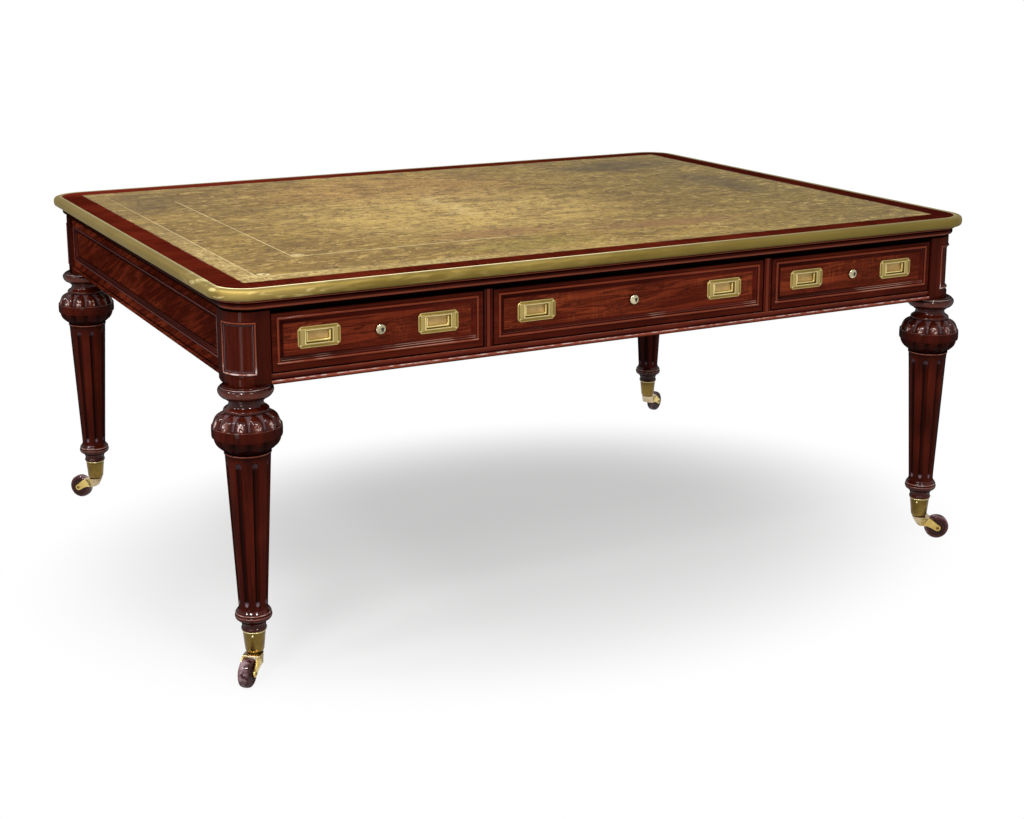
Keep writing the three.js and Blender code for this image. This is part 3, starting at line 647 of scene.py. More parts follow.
def edge_brass(name):
    """Brass band round the top: olive lacquer, with painted shade towards its foot and on the left end, and
    painted highlights at the near corner and along its inner top edge.
    """
    finish = Finish(name)
    x, y, z = finish.axes()
    clouds = finish.noise((7, 7, 34), 3, 0.55, 0.6)
    blots = finish.noise((19, 26, 120), 2, 0.5, 0.8, move=(0.4, 0, 0.9))
    rubbing_and_sheen = finish.noise(600, 2)
    specks = finish.noise(160, 2).ramp(0.68, 0.78)
    front = y.ramp(-560, -620)
    # Painted sheen on the front, towards the near corner.
    front_left_sheen = front * x.ramp(300, -500)
    # Painted highlight: pale patches round the near corner.
    corner = length(x + LEATHER_X, y + LEATHER_Y).ramp(190, 90)
    run_x = (abs(x) - (BORDER_X - TOP_RADIUS)).most(0)
    run_y = (abs(y) - (BORDER_Y - TOP_RADIUS)).most(0)
    reach = length(run_x, run_y) - TOP_RADIUS
    # Painted highlight: a cream line along the inner top edge, strongest at the front towards the left.
    rim = reach.ramp(5.6, 4.6) * (front * x.ramp(500, -300) * 0.6 + 0.1)
    colour = finish.over(
        finish.blend(clouds.ramp(0.36, 0.66), (126, 107, 53), (114, 96, 45)),
        (x.ramp(-200, 600) * 0.5, (116, 103, 52)),
        # Painted shade towards the foot of the band.
        (z.ramp(751, 740) * 0.5, (100, 84, 40)),
        (front_left_sheen * blots.ramp(0.45, 0.65) * 0.3, (168, 147, 86)),
        (corner * 0.2, (190, 168, 106)),
        # Painted shade on the left end.
        (x.ramp(-858, -866) * 0.5, (104, 88, 38)),
        (corner * blots.ramp(0.54, 0.66) * 0.4, (222, 208, 150)),
        (rim, (252, 242, 196)),
        (specks * 0.25, (98, 80, 38)),
    )
    finish.bump(rubbing_and_sheen * 0.3 + clouds, 0.05, 0.0008)
    return finish.surface(colour, clouds * 0.1 + rubbing_and_sheen * 0.06 + 0.58, 1.0)


def handle_pan(name):
    """Floor of the handle recess: tan lacquer over brass."""
    finish = Finish(name)
    clouds = finish.noise(60, 3, 0.6, 0.4)
    finish.bump(finish.noise(900, 2), 0.1, 0.0004)
    colour = finish.blend(clouds.ramp(0.3, 0.7), (196, 162, 98), (176, 142, 82))
    return finish.surface(colour, clouds * 0.1 + 0.42, 0.3)


def keyhole_shadow_finish(name):
    """A painted shadow that stands in for the inside of a keyhole."""
    finish = Finish(name)
    shadow_speckle = finish.noise(900, 2)
    return finish.surface(finish.blend(shadow_speckle, (14, 9, 6), (34, 22, 14)), shadow_speckle * 0.2 + 0.6)


def wheel_finish(name):
    """Castor wheel: dark red-brown, turned in rings, with painted shade in the grooves and a painted
    highlight on the tread.
    """
    finish = Finish(name)
    grit = finish.noise(420, 3, 0.6)
    tone_and_sheen_noise = finish.noise(52, 3, 0.6, 0.5)
    deep, crest_highlight = finish.depth()
    colour = finish.over(
        finish.blend(tone_and_sheen_noise.ramp(0.3, 0.7), (50, 16, 12), (88, 35, 29)),
        # Painted highlight on the tread.
        (crest_highlight * tone_and_sheen_noise.ramp(0.4, 0.64) * 0.75, (178, 154, 162)),
        (grit.ramp(0.6, 0.75) * 0.3, (138, 98, 92)),
        # Painted shade in the grooves.
        (deep, (24, 9, 8)),
    )
    finish.bump(grit * 0.6 + tone_and_sheen_noise, 0.25, 0.0006)
    polish(finish, 0.5, (0.5, 0.8))
    return finish.surface(colour, grit * 0.2 + 0.3)


def oval(at, place, reach):
    """How far out a place lies in an oval: 0 in its middle and 1 on its rim."""
    across = (at[0] - place[0]) / reach[0]
    along = (at[1] - place[1]) / reach[1]
    return across * across + along * along


def patch(at, place, reach):
    """A soft round patch of the top: 1 at its place and 0 at its reach."""
    return oval(at, place, reach).ramp(1, 0)


def hide_colour(finish, x, y):
    """The hide's colour: tan, golden in the middle, olive to the right, with old stains and a painted
    highlight along a fold.
    """
    at = (x, y)
    clouds = finish.noise((2.6, 5.2, 1), 4, 0.6, 0.7, move=(0.3, 1.9, 0))
    mottle = finish.noise((10, 20, 1), 5, 0.7, 0.6)
    streaks = finish.noise((22, 40, 1), 5, 0.75, 1.2)
    broken = finish.noise((52, 60, 1), 4, 0.75, 0.8, move=(2, 5, 0))
    stains = patch(at, (-700, 390), (130, 200)) * 0.6
    stains = stains.most(patch(at, (610, 420), (270, 110)) * 0.85)
    stains = stains.most(patch(at, (670, 50), (75, 240)) * 0.75)
    stained = stains * (clouds * 0.5 + mottle * 0.5).ramp(0.3, 0.6)
    browned = patch(at, (-165, -335), (210, 60)).most(patch(at, (230, -396), (260, 55)))
    greened = patch(at, (-160, -480), (190, 70)) * broken.ramp(0.6, 0.45)
    wander = mottle * 190 + clouds * 60 - 125
    # Painted highlight along a wavy fold.
    fold_highlight = (x + wander + 98).near(0, 32) * patch(at, (-98, 20), (200, 210))
    return finish.over(
        finish.blend(clouds.ramp(0.36, 0.66), (138, 109, 42), (180, 148, 66)),
        (x.ramp(-250, -700) * 0.4, (140, 112, 56)),
        (x.ramp(100, 650) * 0.7, (128, 107, 40)),
        (patch(at, (-120, 330), (430, 300)) * 0.75, (192, 146, 76)),
        (patch(at, (-130, -60), (480, 400)) * 0.65, (226, 190, 110)),
        (mottle.ramp(0.46, 0.66) * 0.65, (112, 84, 34)),
        (streaks.ramp(0.52, 0.63) * 0.6, (226, 193, 116)),
        (streaks.ramp(0.48, 0.37) * 0.7, (96, 70, 28)),
        (broken.ramp(0.53, 0.64) * 0.7, (98, 66, 31)),
        (stained, (80, 64, 34)),
        (browned * 0.6, (146, 102, 60)),
        (greened * 0.5, (160, 146, 64)),
        (fold_highlight * 0.55, (236, 208, 138)),
    )


def leather(name):
    """Gold-tooled hide: rubbed tan with creases, an embossed band with a painted highlight, and two gold
    lines.
    """
    finish = Finish(name)
    x, y = finish.axes()[:2]
    edge = (LEATHER_X - abs(x)).least(LEATHER_Y - abs(y))
    grain = finish.noise((420, 620, 1), 3, 0.65)
    creases = finish.noise((28, 50, 1), 4, 0.7, 1.8)
    crease = creases.near(0.5, 0.022)
    specks = finish.noise((95, 52, 1), 2, 0.5, move=(4, 2, 0)).ramp(0.64, 0.7)
    arc_line = length(x + 525, y + 545).near(85, 1.6)
    scratch = arc_line * x.ramp(-532, -540) * y.ramp(-552, -546)
    split = x.near(641, 2.6) * y.ramp(-405, -380) * y.ramp(-50, -110)
    tooling = finish.noise((120, 120, 1), 3, 0.6, 0.6).ramp(0.4, 0.6)
    band = edge.ramp(43, 40) * edge.ramp(1, 5)
    lit_end = x.ramp(-700, -780) * y.ramp(250, -450)
    lit_front = y.ramp(-480, -545) * x.ramp(150, -600)
    patchy_highlight = finish.noise((9, 14, 1), 3, 0.6).ramp(0.34, 0.62, 0.35, 1)
    # Painted highlight on the embossed band: strong where it is lit at the left end and the front, faint
    # elsewhere.
    lit_band = band * (lit_end.most(lit_front) * patchy_highlight * 0.7 + 0.08)
    outer_line = edge.near(42, 1.8) * (x.ramp(-600, -700) * y.ramp(583, -100, 0.35, 1)).most(0.2)
    faint_front = (y + 387).near(0, 4.2) * x.ramp(-60, -260) * x.ramp(-641, -636)
    inner_line = (637 - abs(x)).near(0, 1.9) * x.ramp(-560, -640) * abs(y).ramp(391, 388)
    leaf_wear = finish.noise((26, 26, 1), 3, 0.6).ramp(0.3, 0.52)
    gold = outer_line.most(inner_line.most(faint_front * 0.8)) * (leaf_wear * 0.6 + 0.4)
    at = (x, y)
    leaves = patch(at, (-748, -525), (15, 15)).most(patch(at, (-622, -372), (16, 13)))
    gold = gold.most(leaves.ramp(0.1, 0.4) * tooling * 0.85)
    base = finish.over(
        hide_colour(finish, x, y),
        (crease * 0.55, (78, 56, 28)),
        (grain.ramp(0.35, 0.75) * 0.25, (84, 60, 30)),
        (specks * 0.7, (60, 42, 22)),
        (scratch.most(split) * 0.85, (74, 54, 30)),
        (lit_band, finish.blend(tooling, (142, 112, 60), (224, 200, 134))),
        (gold * 0.9, (240, 220, 158)),
    )
    height = grain * 0.5 + creases * 0.5 - crease * 0.6 - gold * 0.8 + band * tooling * 0.8
    finish.bump(height, 0.5, 0.0008)
    finish.set("Specular IOR Level", 0.06)
    return finish.surface(base, creases * 0.22 + 0.42 - gold * 0.12, gold * 0.3)


def make_finishes():
    """Every finish of the table, by name. Grain runs along axis 0, 1 or 2."""
    deep = ((58, 12, 6), (98, 30, 16), (130, 50, 28))
    end = ((46, 10, 5), (78, 23, 12), (104, 38, 22))
    top = ((60, 14, 7), (96, 31, 17), (120, 46, 27))
    border = ((56, 14, 7), (90, 30, 16), (114, 44, 25))
    # Painted shadow: near-black wood for the rail over the drawers and for the drawers' top faces.
    shadow = ((8, 2, 1), (16, 4, 3), (20, 6, 4))
    drawer_flames = ((70, 20, 10), (124, 48, 26), (162, 74, 40))
    end_flames = ((40, 9, 4), (92, 32, 18), (132, 56, 34))
    back_flames = ((58, 15, 8), (96, 34, 18), (130, 56, 32))
    slanted = (0, 0.03, 0)
    return {
        # After the coat come the colour of the painted sheen on the crests and the strength of the painted
        # shade towards the silhouette.
        "rail": mahogany("mahogany_front_rail", *deep, 0, 0.14),
        "end": mahogany("mahogany_end_moulding", *end, 1, 0.08, (124, 84, 82), 0.4),
        "cornice": mahogany("mahogany_cornice", *top, 0, 0.1, (156, 74, 45), 0.9),
        "bead": mahogany("mahogany_drawer_bead", *deep, 0, 0.08, highlight_heights=(615.7, 619.4, 622.6)),
        "stile": mahogany("mahogany_stile", *deep, 2, 0.08, (126, 52, 30)),
        "shadow": mahogany("mahogany_in_shadow", *shadow, 0, 0.0),
        "drawer": flame_mahogany("flame_mahogany_drawers", *drawer_flames, 0, slanted, (2, 0, 5)),
        "end_panel": flame_mahogany(
            "flame_mahogany_ends", *end_flames, 1, (0.35, 0, 0), (0, 7, 2), -0.08,
        ),
        "back_panel": flame_mahogany("flame_mahogany_back", *back_flames, 0, slanted, (9, 0, 1)),
        "border": mahogany("mahogany_drawer_border", *border, 0, 0.05),
        "leg": leg_mahogany("mahogany_carved"),
        "crossband": crossband("mahogany_crossband"),
        "top": carcase_wood("top_board_wood", (120, 82, 52), (88, 56, 34), 0),
        "runner": carcase_wood("runner_wood", (126, 88, 56), (90, 58, 36), 1),
        "box": carcase_wood("drawer_lining_wood", (148, 108, 70), (112, 76, 46), 1),
        "edge_brass": edge_brass("brass_edging"),
        "plate_brass": brass("brass_handles", (148, 122, 56), (128, 104, 46), 0.4),
        "castor_brass": brass("brass_castors", (132, 108, 54), (100, 80, 38), 0.34, 0.5),
        "arm_brass": brass("brass_castor_arms", (222, 196, 122), (188, 158, 86), 0.26, 0.4),
        "horn_brass": brass("brass_castor_horns", (200, 182, 148), (150, 126, 84), 0.24, 0.4),
        "bail_brass": brass("brass_bails", (226, 208, 138), (196, 174, 104), 0.28),
        "lock_brass": brass("brass_lock", (206, 196, 164), (126, 110, 74), 0.16),
        "pan": handle_pan("handle_pan_lacquer"),
        "hole": keyhole_shadow_finish("keyhole_painted_shadow"),
        "wheel": wheel_finish("castor_wheel_wood"),
        "leather": leather("tooled_leather"),
    }


FINISHES = make_finishes()


# Top

def brass_edge():
    """Brass band round the top: a flat land, a fine groove and a full round nose."""
    nose = []
    for step in range(25):
        angle = math.radians(-90 + 180 * step / 24)
        reach = 5 + 14 * abs(math.cos(angle)) ** 0.46
        height = abs(math.sin(angle)) ** 0.85 * (11.5 if angle > 0 else -10.2)
        nose.append((reach, 750.5 + height))
    land = [(4.4, 762), (3.7, 761.3), (3.0, 762), (0.2, 762), (0, 761.8), (0, 739), (4.6, 739)]
    shape = new_shape()
    carried_round(shape, nose + land, BORDER_X, BORDER_Y, TOP_RADIUS, 20, True)
    piece("brass_band", shape, "table", ["edge_brass"], ["brass_edge"], 40)


def cornice():
    """Moulded board under the top: an undercut, an ovolo, a quirk and a fillet."""
    ovolo = smooth_outline(0.9, [
        (1.0, 720.8), (4.0, 721.6), (6.2, 723.4), (7.3, 726), (7.5, 728.2), (7.0, 730.6), (5.8, 732.2),
    ])
    section = [(-0.75, FRIEZE_TOP), (-0.75, 720.2)] + ovolo
    section += [(4.2, 732.7), (3.2, 733.2), (3.2, 734.7), (4.2, 735), (10.6, 735.1), (11.3, 735.5)]
    section += [(11.5, 736.4), (11.5, 737.2), (11.4, 738.1), (11.1, 738.8), (10.6, 739)]
    shape = new_shape()
    carried_round(shape, section, 848, 625, 50, 16, False)
    # Painted shadow in the undercut, in the quirk and under the brass; painted highlights on the ovolo and
    # the fillet.
    levels = [(716, 1), (720.2, 1), (720.6, 0), (721.6, -0.75), (725.5, -0.75), (728.2, 0), (732.2, 0.3)]
    levels += [(732.7, 1), (734.8, 1), (735.1, -0.3), (735.6, -0.75), (737.2, -0.6), (738.1, 0.8), (739, 1)]
    mark(shape, levels)
    piece("cornice_moulding", shape, "table", ["cornice"], ["cornice_board"])


# Legs: turned in 240 steps, with a flute every 30 and a lobe every 20

LEG_STEPS = 240
LOBE_STEPS = 8.2
FLUTE_STEPS = 6
FLUTE_FOOT = 161
FLUTE_HEAD = 427.8


def leg_outline():
    """Outline of the turned leg from its tenon up, as (radius, height)."""
    foot = [(0, 58), (15.7, 58), (19.3, 98.8)]
    foot += smooth_outline(0.8, [(21.8, 99), (23.4, 100), (24.0, 102), (23.6, 104.2), (22.6, 105.4)])
    foot += smooth_outline(1.4, [(22.4, 106.4), (22.6, 110), (23.8, 114), (26.2, 117.2), (29.0, 119.4)])
    roll = [(29.6, 120), (32.4, 122), (34.3, 125), (35, 128.2), (34.8, 130.4), (33.8, 131.7)]
    bead = [(32.9, 132.2), (33.7, 133), (33.8, 134.6), (32.9, 137), (31.3, 139.2), (29.7, 141)]
    hollow = [(28.9, 142.2), (28.1, 144), (27.4, 146.6)]
    levels = [148 + 1.2 * step for step in range(14)] + [172 + 18 * step for step in range(14)]
    levels += [418] + [422 + 1.1 * step for step in range(14)] + [439, 442, 444.6]
    shaft = [(27.3 + 15 * (level - 147) / 297.6, level) for level in levels]
    thin_ring = [(42.4, 445.4), (43.4, 445.8), (43.9, 446.9), (43.9, 448.7), (43.4, 449.9), (42.9, 450.3)]
    lower = [(45.2, 450.8), (48.4, 453.4), (52.6, 458.2), (57.2, 463.6), (60.3, 469), (62.2, 474.4)]
    band = [(64.9, 479.8), (65.3, 483), (65.4, 489.8), (65.3, 496.6), (64.9, 499.9)]
    upper = [(63.7, 500.5), (62.8, 504), (61, 508.6), (58.8, 513.4), (56, 517.4), (51.6, 521.4)]
    bell = [(41.4, 526.7), (42.1, 527.4), (42.3, 529.2), (41.7, 531.2), (39.8, 533.2), (36.8, 535)]
    bell += [(34.2, 537.2), (32.5, 540.4), (32, 544), (32.4, 546.6), (33.4, 547.9)]
    collar = [(35.6, 548.2), (36.4, 548.9), (36.4, 550.8), (35.9, 551.6)]
    torus = [(39.2, 552), (43.4, 553.6), (46.8, 556.2), (49.6, 559.8), (51.2, 563.6), (51.6, 567)]
    parts = [
        foot, smooth_outline(1.0, roll), smooth_outline(1.0, bead), smooth_outline(0.9, hollow),
        shaft, thin_ring, smooth_outline(1.1, lower + [(63.4, 479.2)]), smooth_outline(2.2, band),
        smooth_outline(1.1, upper + [(46.4, 524.6), (42.4, 526.2)]), smooth_outline(0.9, bell),
        collar, smooth_outline(1.3, torus + [(50.8, 570), (48.9, 572)]),
        smooth_outline(0.6, [(46.2, 572.3), (47.2, 572.8), (47.4, 573.9), (46.3, 574.9)]),
        smooth_outline(0.6, [(43.6, 575.1), (44.2, 575.6), (44, 576.5), (43, 577)]),
        [(34, 577.1), (34, 592), (0, 592)],
    ]
    return [point for part in parts for point in part]


def flute_cut(steps_off, height):
    """How much of a flute's depth is cut: 1 in its middle, 0 at its rim."""
    across = steps_off / FLUTE_STEPS
    along = max(0, (height - FLUTE_HEAD) / 7, (FLUTE_FOOT - height) / 10.5)
    return math.sqrt(max(0, 1 - across * across - along * along))


def lobe_rise(steps_off, along, straight):
    """How far a carved lobe rises out of its groove. Along runs from its flat end to its tip."""
    across = steps_off / LOBE_STEPS
    towards_tip = max(0, (along - straight) / (1 - straight))
    return math.sqrt(max(0, 1 - across ** 2.4 - towards_tip ** 2.2))


def carve(shape):
    """Cuts the flutes of the shaft and the lobes of the bulb, and notes each place's painted shade or
    painted highlight.
    """
    depth = shape.verts.layers.float["depth"]
    # Painted shade at the quirks, painted highlights on the ledges and, faintly, round the torus.
    quirks = [105.9, 119.7, 132, 141.8, 445.2, 450.5, 526.5, 548, 551.8, 572.2, 575]
    ledges = [129.4, 134.6, 448.7, 499.9, 573.2]
    for vert in shape.verts:
        x, y, height = vert.co
        radius = math.hypot(x, y)
        if radius < 20:
            continue
        vert[depth] = max(0, 1 - min(abs(height - quirk) for quirk in quirks) / 0.9)
        if min(abs(height - ledge) for ledge in ledges) < 0.9:
            vert[depth] = -1
        elif 555 < height < 571:
            vert[depth] = -0.34 * (1 - ((height - 563) / 8) ** 2)
        step = math.atan2(y, x) * LEG_STEPS / (2 * math.pi)
        new_radius = radius
        if 147 < height < 440:
            to_side = (step + 15) % 30 - 15
            cut = flute_cut(abs(to_side), height)
            new_radius = radius * (1 - 0.125 * cut)
            # Painted shade in the flutes, heavier towards their left walls.
            to_left = max(0, min(1, 0.5 - to_side / 12))
            vert[depth] = (0.25 + 0.6 * to_left) * min(1, cut * 1.6)
        elif 450.6 < height < 479.6 or 500.1 < height < 526.5:
            off = abs((step + 10) % 20 - 10)
            is_upper = height > 490
            along = (height - 500) / 25.4 if is_upper else (480 - height) / 27.8
            rise = lobe_rise(off, along, 0.45 if is_upper else 0.3)
            new_radius = radius - (6.5 if is_upper else 6.0) * (1 - rise)
            # Painted shade in the grooves between the lobes.
            vert[depth] = 0.7 * (1 - min(1, rise * 2.2))
            # Painted highlight on the fullest part of each upper lobe.
            fullest = 1 - (off / 5.2) ** 2 - ((height - 508) / 8.5) ** 2
            if is_upper and fullest > 0:
                vert[depth] = -min(1, fullest * 2.2)
        vert.co.x = x * new_radius / radius
        vert.co.y = y * new_radius / radius


# Corner posts: half their width, and the bend of their outer corner

POST_HALF = 37.5
POST_RADIUS = 50
POST_MIDDLE = POST_RADIUS - POST_HALF
POST_BEND = POST_RADIUS * math.pi / 4


def bend_round_post(point):
    """Carries a place on the flat panel (along, height, relief) round the post's outer corner."""
    along, height, relief = point
    past = abs(along) - POST_BEND
    if past > 0:
        beyond, out = POST_MIDDLE + past, -POST_HALF - relief
        return Vector((beyond, out, height) if along > 0 else (out, beyond, height))
    angle = 1.25 * math.pi + along / POST_RADIUS
    reach = POST_RADIUS + relief
    return Vector((POST_MIDDLE + reach * math.cos(angle), POST_MIDDLE + reach * math.sin(angle), height))


def corner_post():
    """Post with a round outer corner and a bent, mitred frame let into it."""
    shape = new_shape()
    foot = 583
    half = POST_BEND + 25
    frame_half = POST_BEND - 1.6
    ruled_grid(shape, [-half, -frame_half, frame_half, half], [foot, 598.1, 697.9, FRIEZE_TOP])
    # The notes paint shade in the quirks and the hollow, and highlights on the bead.
    bead = [(0.2, -0.5, 1), (0.6, -0.5, 1), (0.8, 0.5, 0), (1.2, 1.4, -0.5), (1.9, 2, -0.75), (2.8, 2, -0.6)]
    bead += [(3.5, 1.5, -0.3), (4.1, 0.6, 0.2), (4.4, -0.5, 0.9), (5.4, -0.9, 0.8)]
    cove = [(5.7, -0.8, 0.66), (6.4, -0.9, 0.62), (6.9, -1.3, 0.66), (7.2, -2.2, 0.9), (8.0, -2.5, 0.8)]
    stepped(shape, face_at(shape, (0, 648.5, 0)), bead + cove + [(9.6, -2.5)])
    depth = shape.verts.layers.float["depth"]
    # Painted highlight along the frame's bottom bar.
    for vert in shape.verts:
        if 599 < vert.co.y < 607 and vert[depth] < 0.5 and abs(vert.co.x) < 37:
            vert[depth] = -1
    cut_across(shape, [-POST_BEND + 2 * POST_BEND * step / 26 for step in range(27)], 0)
    for vert in shape.verts:
        vert.co = bend_round_post(vert.co)
    for side, run in (((POST_HALF, -POST_HALF), (0, 75, 0)), ((-POST_HALF, POST_HALF), (75, 0, 0))):
        upright = [
            edge for edge in shape.edges
            if all((v.co.xy - Vector(side)).length < WELD for v in edge.verts)
        ]
        pull(shape, upright, run)
    bmesh.ops.remove_doubles(shape, verts=shape.verts, dist=WELD)
    lowest = [edge for edge in shape.edges if all(abs(v.co.z - foot) < WELD for v in edge.verts)]
    verts = pull(shape, lowest, (0, 0, -6))[0]
    bmesh.ops.scale(shape, vec=(0.925, 0.925, 1), verts=verts)
    fill_rims(shape)
    close_up(shape)
    return shape


def legs():
    """Four carved legs, each one piece with its post."""
    pattern = new_shape()
    turned(pattern, leg_outline(), LEG_STEPS)
    carve(pattern)
    add_shape(pattern, corner_post())
    for corner, (side_x, side_y, turn, *_) in CORNERS.items():
        shape = pattern.copy()
        move_to(shape, (side_x * LEG_X, side_y * LEG_Y, 0), turn)
        piece(f"carved_leg_{corner}", shape, "table", ["leg"], [f"leg_{corner}"], 42)
    pattern.free()


# Castors: where the axle is from the swivel, and how far out the horn and its arms begin

AXLE_PLACE = (42, 0, 27.5)
HORN_HALF = 17.1
ARM_INNER = 12.6


def castor_cup(corner, axis, screw_turn):
    """Brass cup with a rolled rim, and the screw that pins it to the leg."""
    outline = [(4.2, 53.2), (13.6, 53), (15, 53.6), (17.6, 58.6), (18, 60.2), (21.5, 94.6), (21.7, 96)]
    outline += smooth_outline(0.5, [(22.2, 96.3), (22.8, 97.2), (22.7, 98.4), (21.6, 99)])
    outline += [(19.8, 99), (16.1, 58.2), (4.2, 57.8)]
    shape = new_shape()
    turned(shape, outline, 48, True)
    # Painted highlights on the rolled rim and just above the foot; darker at the foot and under the rim.
    levels = [(53, 0.5), (54.5, -0.5), (57, 0), (92, 0), (95.6, 0.5), (96.4, 0.6), (97, -0.6), (99, -0.6)]
    mark(shape, levels)
    screw = new_shape()
    turned(screw, [(0, -1), (2.5, -1), (2.5, 0.3), (2.1, 0.9), (1.2, 1.3), (0, 1.4)], 16)
    # Painted highlight on the screw's head, darker round its edge.
    mark(screw, [(2.2, -0.6), (2.4, 0.9)], off_axis)
    move_to(screw, (21.1, 0, 91), 90, "Y")
    move_to(screw, (0, 0, 0), screw_turn)
    add_shape(shape, screw)
    move_to(shape, axis)
    name = f"brass_cup_{corner}"
    piece(name, shape, "table", ["castor_brass"], [f"castor_cup_{corner}"], 40)


def plate_of(shape, outline, near, far):
    """A flat plate of an upright outline of (x, z) points, between two places across."""
    prism(shape, [(x, near, z) for x, z in outline], (0, far - near, 0))


def castor_horn(corner, axis, swivel):
    """Horn that swivels under the cup: a wedge body, and two arms that hold the wheel."""
    shape = new_shape()
    body = [(-15, 52.7), (-13.8, 48.7), (-4.6, 33.4), (-3, 32.5), (6, 32.5), (10.8, 36), (14, 42)]
    body += [(18.5, 47.5), (23.6, 51.8), (22.6, 52.7), (10, 52.7)]
    plate_of(shape, body, -HORN_HALF, HORN_HALF)
    cut_across(shape, [-16.4, -14.4, -11.4, -7.4, -2.6, 2.6, 7.4, 11.4, 14.4, 16.4], 1)
    for vert in shape.verts:
        if vert.co.x < 6:
            roundness = math.sqrt(1 - min(1, abs(vert.co.y) / 17.3) ** 2)
            vert.co.x = 6 + (vert.co.x - 6) * (0.12 + 0.88 * roundness)
    close_up(shape)
    for face in shape.faces:
        face.material_index = 1
    outline = [(2, 50.8), (9, 52.7), (17, 52.6), (27, 48.4), (36, 41), (44.6, 34)]
    outline += arc(7.3, 58, -100, 9, AXLE_PLACE[::2])
    outline += [(35, 22.4), (27, 27.6), (17, 31.6), (7, 32.5), (2, 33)]
    for side in (-1, 1):
        arm = new_shape()
        plate_of(arm, outline, side * ARM_INNER, side * HORN_HALF)
        rims = [edge for edge in arm.edges if abs(edge.verts[0].co.y - edge.verts[1].co.y) < WELD]
        bmesh.ops.bevel(arm, geom=rims, offset=0.7, segments=2, profile=0.5, affect="EDGES", material=-1)
        add_shape(shape, arm)
    move_to(shape, axis, swivel)
    coats = ["arm_brass", "horn_brass"]
    name = f"brass_horn_{corner}"
    piece(name, shape, f"castor_{corner}", coats, [f"castor_horn_{corner}"], 35)


def castor_axle(corner, axis, swivel):
    """Riveted axle of the wheel."""
    shape = new_shape()
    end = [(3, 16.8), (3.6, 17.0), (3.4, 17.8), (2.2, 18.5), (0, 18.8)]
    turned(shape, [(radius, -height) for radius, height in reversed(end)] + end, 20)
    move_to(shape, AXLE_PLACE, 90, "X")
    move_to(shape, axis, swivel)
    body = f"castor_{corner}"
    piece(f"rivet_{corner}", shape, body, ["castor_brass"], [f"castor_axle_{corner}"])


def castor_wheel(corner, axis, swivel):
    """Wheel turned with rings on its faces and a rounded tread."""
    half = [(3.2, 11.8), (8.6, 12), (9.4, 11.4), (10, 10.6), (12, 10.4), (12.5, 11), (15, 11.1)]
    half += [(15.5, 10.3), (18.6, 10.1), (19.1, 10.8), (21.8, 11)]
    half += smooth_outline(1.5, [(23.2, 10.6), (25.6, 8.8), (27, 6), (27.5, 2.4), (27.5, 0)])
    shape = new_shape()
    turned(shape, half + [(radius, -height) for radius, height in reversed(half[:-1])], 64, True)
    # Painted shade in the grooves of the rings, painted highlights on the tread and faintly on one ring.
    rings = [(3, 0.8), (8, 0), (9.2, 0.6), (10, 0.9), (12, 0.9), (12.6, -0.2), (14.8, -0.2), (15.5, 0.8)]
    rings += [(18.6, 0.8), (19.1, -0.1), (21.8, 0), (23.5, -0.1), (25.4, -0.6), (26.8, -1), (28, -1)]
    mark(shape, rings, off_axis)
    move_to(shape, AXLE_PLACE, 90, "X")
    move_to(shape, axis, swivel)
    name = f"turned_wheel_{corner}"
    piece(name, shape, f"wheel_{corner}", ["wheel"], [f"castor_wheel_{corner}"])


def castors():
    for corner, (side_x, side_y, _, swivel, screw_turn) in CORNERS.items():
        axis = (side_x * LEG_X, side_y * LEG_Y, 0)
        castor_cup(corner, axis, screw_turn)
        castor_horn(corner, axis, swivel)
        castor_axle(corner, axis, swivel)
        castor_wheel(corner, axis, swivel)


# Frieze: thickness and bead of the side rails, and where their sunk panels begin and end

RAIL_THICKNESS = 22
SIDE_BEAD = 9
BEAD_GAP = 1.2
PANEL_END = 14
PANEL_LOW = 0.22
PANEL_HIGH = 0.852


def run_of(shape, section, half):
    """A straight run of a closed section of (depth, height), from -half to half along X."""
    prism(shape, [(-half, depth, height) for depth, height in section], (2 * half, 0, 0))


def bead_section(foot, height, reach):
    """A round bead at the foot of a rail, with the quirk that sets it off."""
    half = height / 2
    angles = [math.radians(-80 + 160 * step / 12) for step in range(13)]
    bead = [(-reach * math.cos(a) ** 0.8, foot + half - half * math.sin(a)) for a in angles]
    return [(0.9, foot + height + BEAD_GAP), (0.9, foot + height)] + bead + [(0, foot)]


def panel_heights(foot):
    """Where the sunk panel of a rail begins and ends."""
    height = FRIEZE_TOP - foot
    return foot + PANEL_LOW * height, foot + PANEL_HIGH * height


def panelled_rail(half, foot):
    """A rail with a long sunk panel and a bead along its foot, drawn at the origin facing -Y."""
    shape = new_shape()
    low, high = panel_heights(foot)
    over_bead = foot + SIDE_BEAD + BEAD_GAP
    block(shape, (-half, 0, over_bead), (half, RAIL_THICKNESS, FRIEZE_TOP))
    parts = [face_towards(shape.faces, (0, -1, 0))]
    cut_across(shape, [PANEL_END - half, half - PANEL_END], 0, parts)
    cut_across(shape, [low, high], 2, parts)
    panel = face_at(shape, (0, 0, (low + high) / 2))
    # Painted shade in a band where the moulding meets the sunk panel.
    stepped(shape, panel, [(0.02, -5), (10.6, -5, 1), (11.6, -5, 0.9), (13.4, -5)])
    foot_bead = new_shape()
    back = [(RAIL_THICKNESS, foot), (RAIL_THICKNESS, over_bead)]
    run_of(foot_bead, bead_section(foot, SIDE_BEAD, 5) + back, half)
    # Painted highlight on the bead, painted shade at its foot and in the quirk above it.
    stops = [(0, 0.7), (0.25, 0), (0.55, -0.9), (0.85, -0.4), (0.97, 0.3), (1, 1)]
    mark(foot_bead, stops, lambda place: (place.z - foot) / SIDE_BEAD)
    add_shape(shape, foot_bead)
    return shape


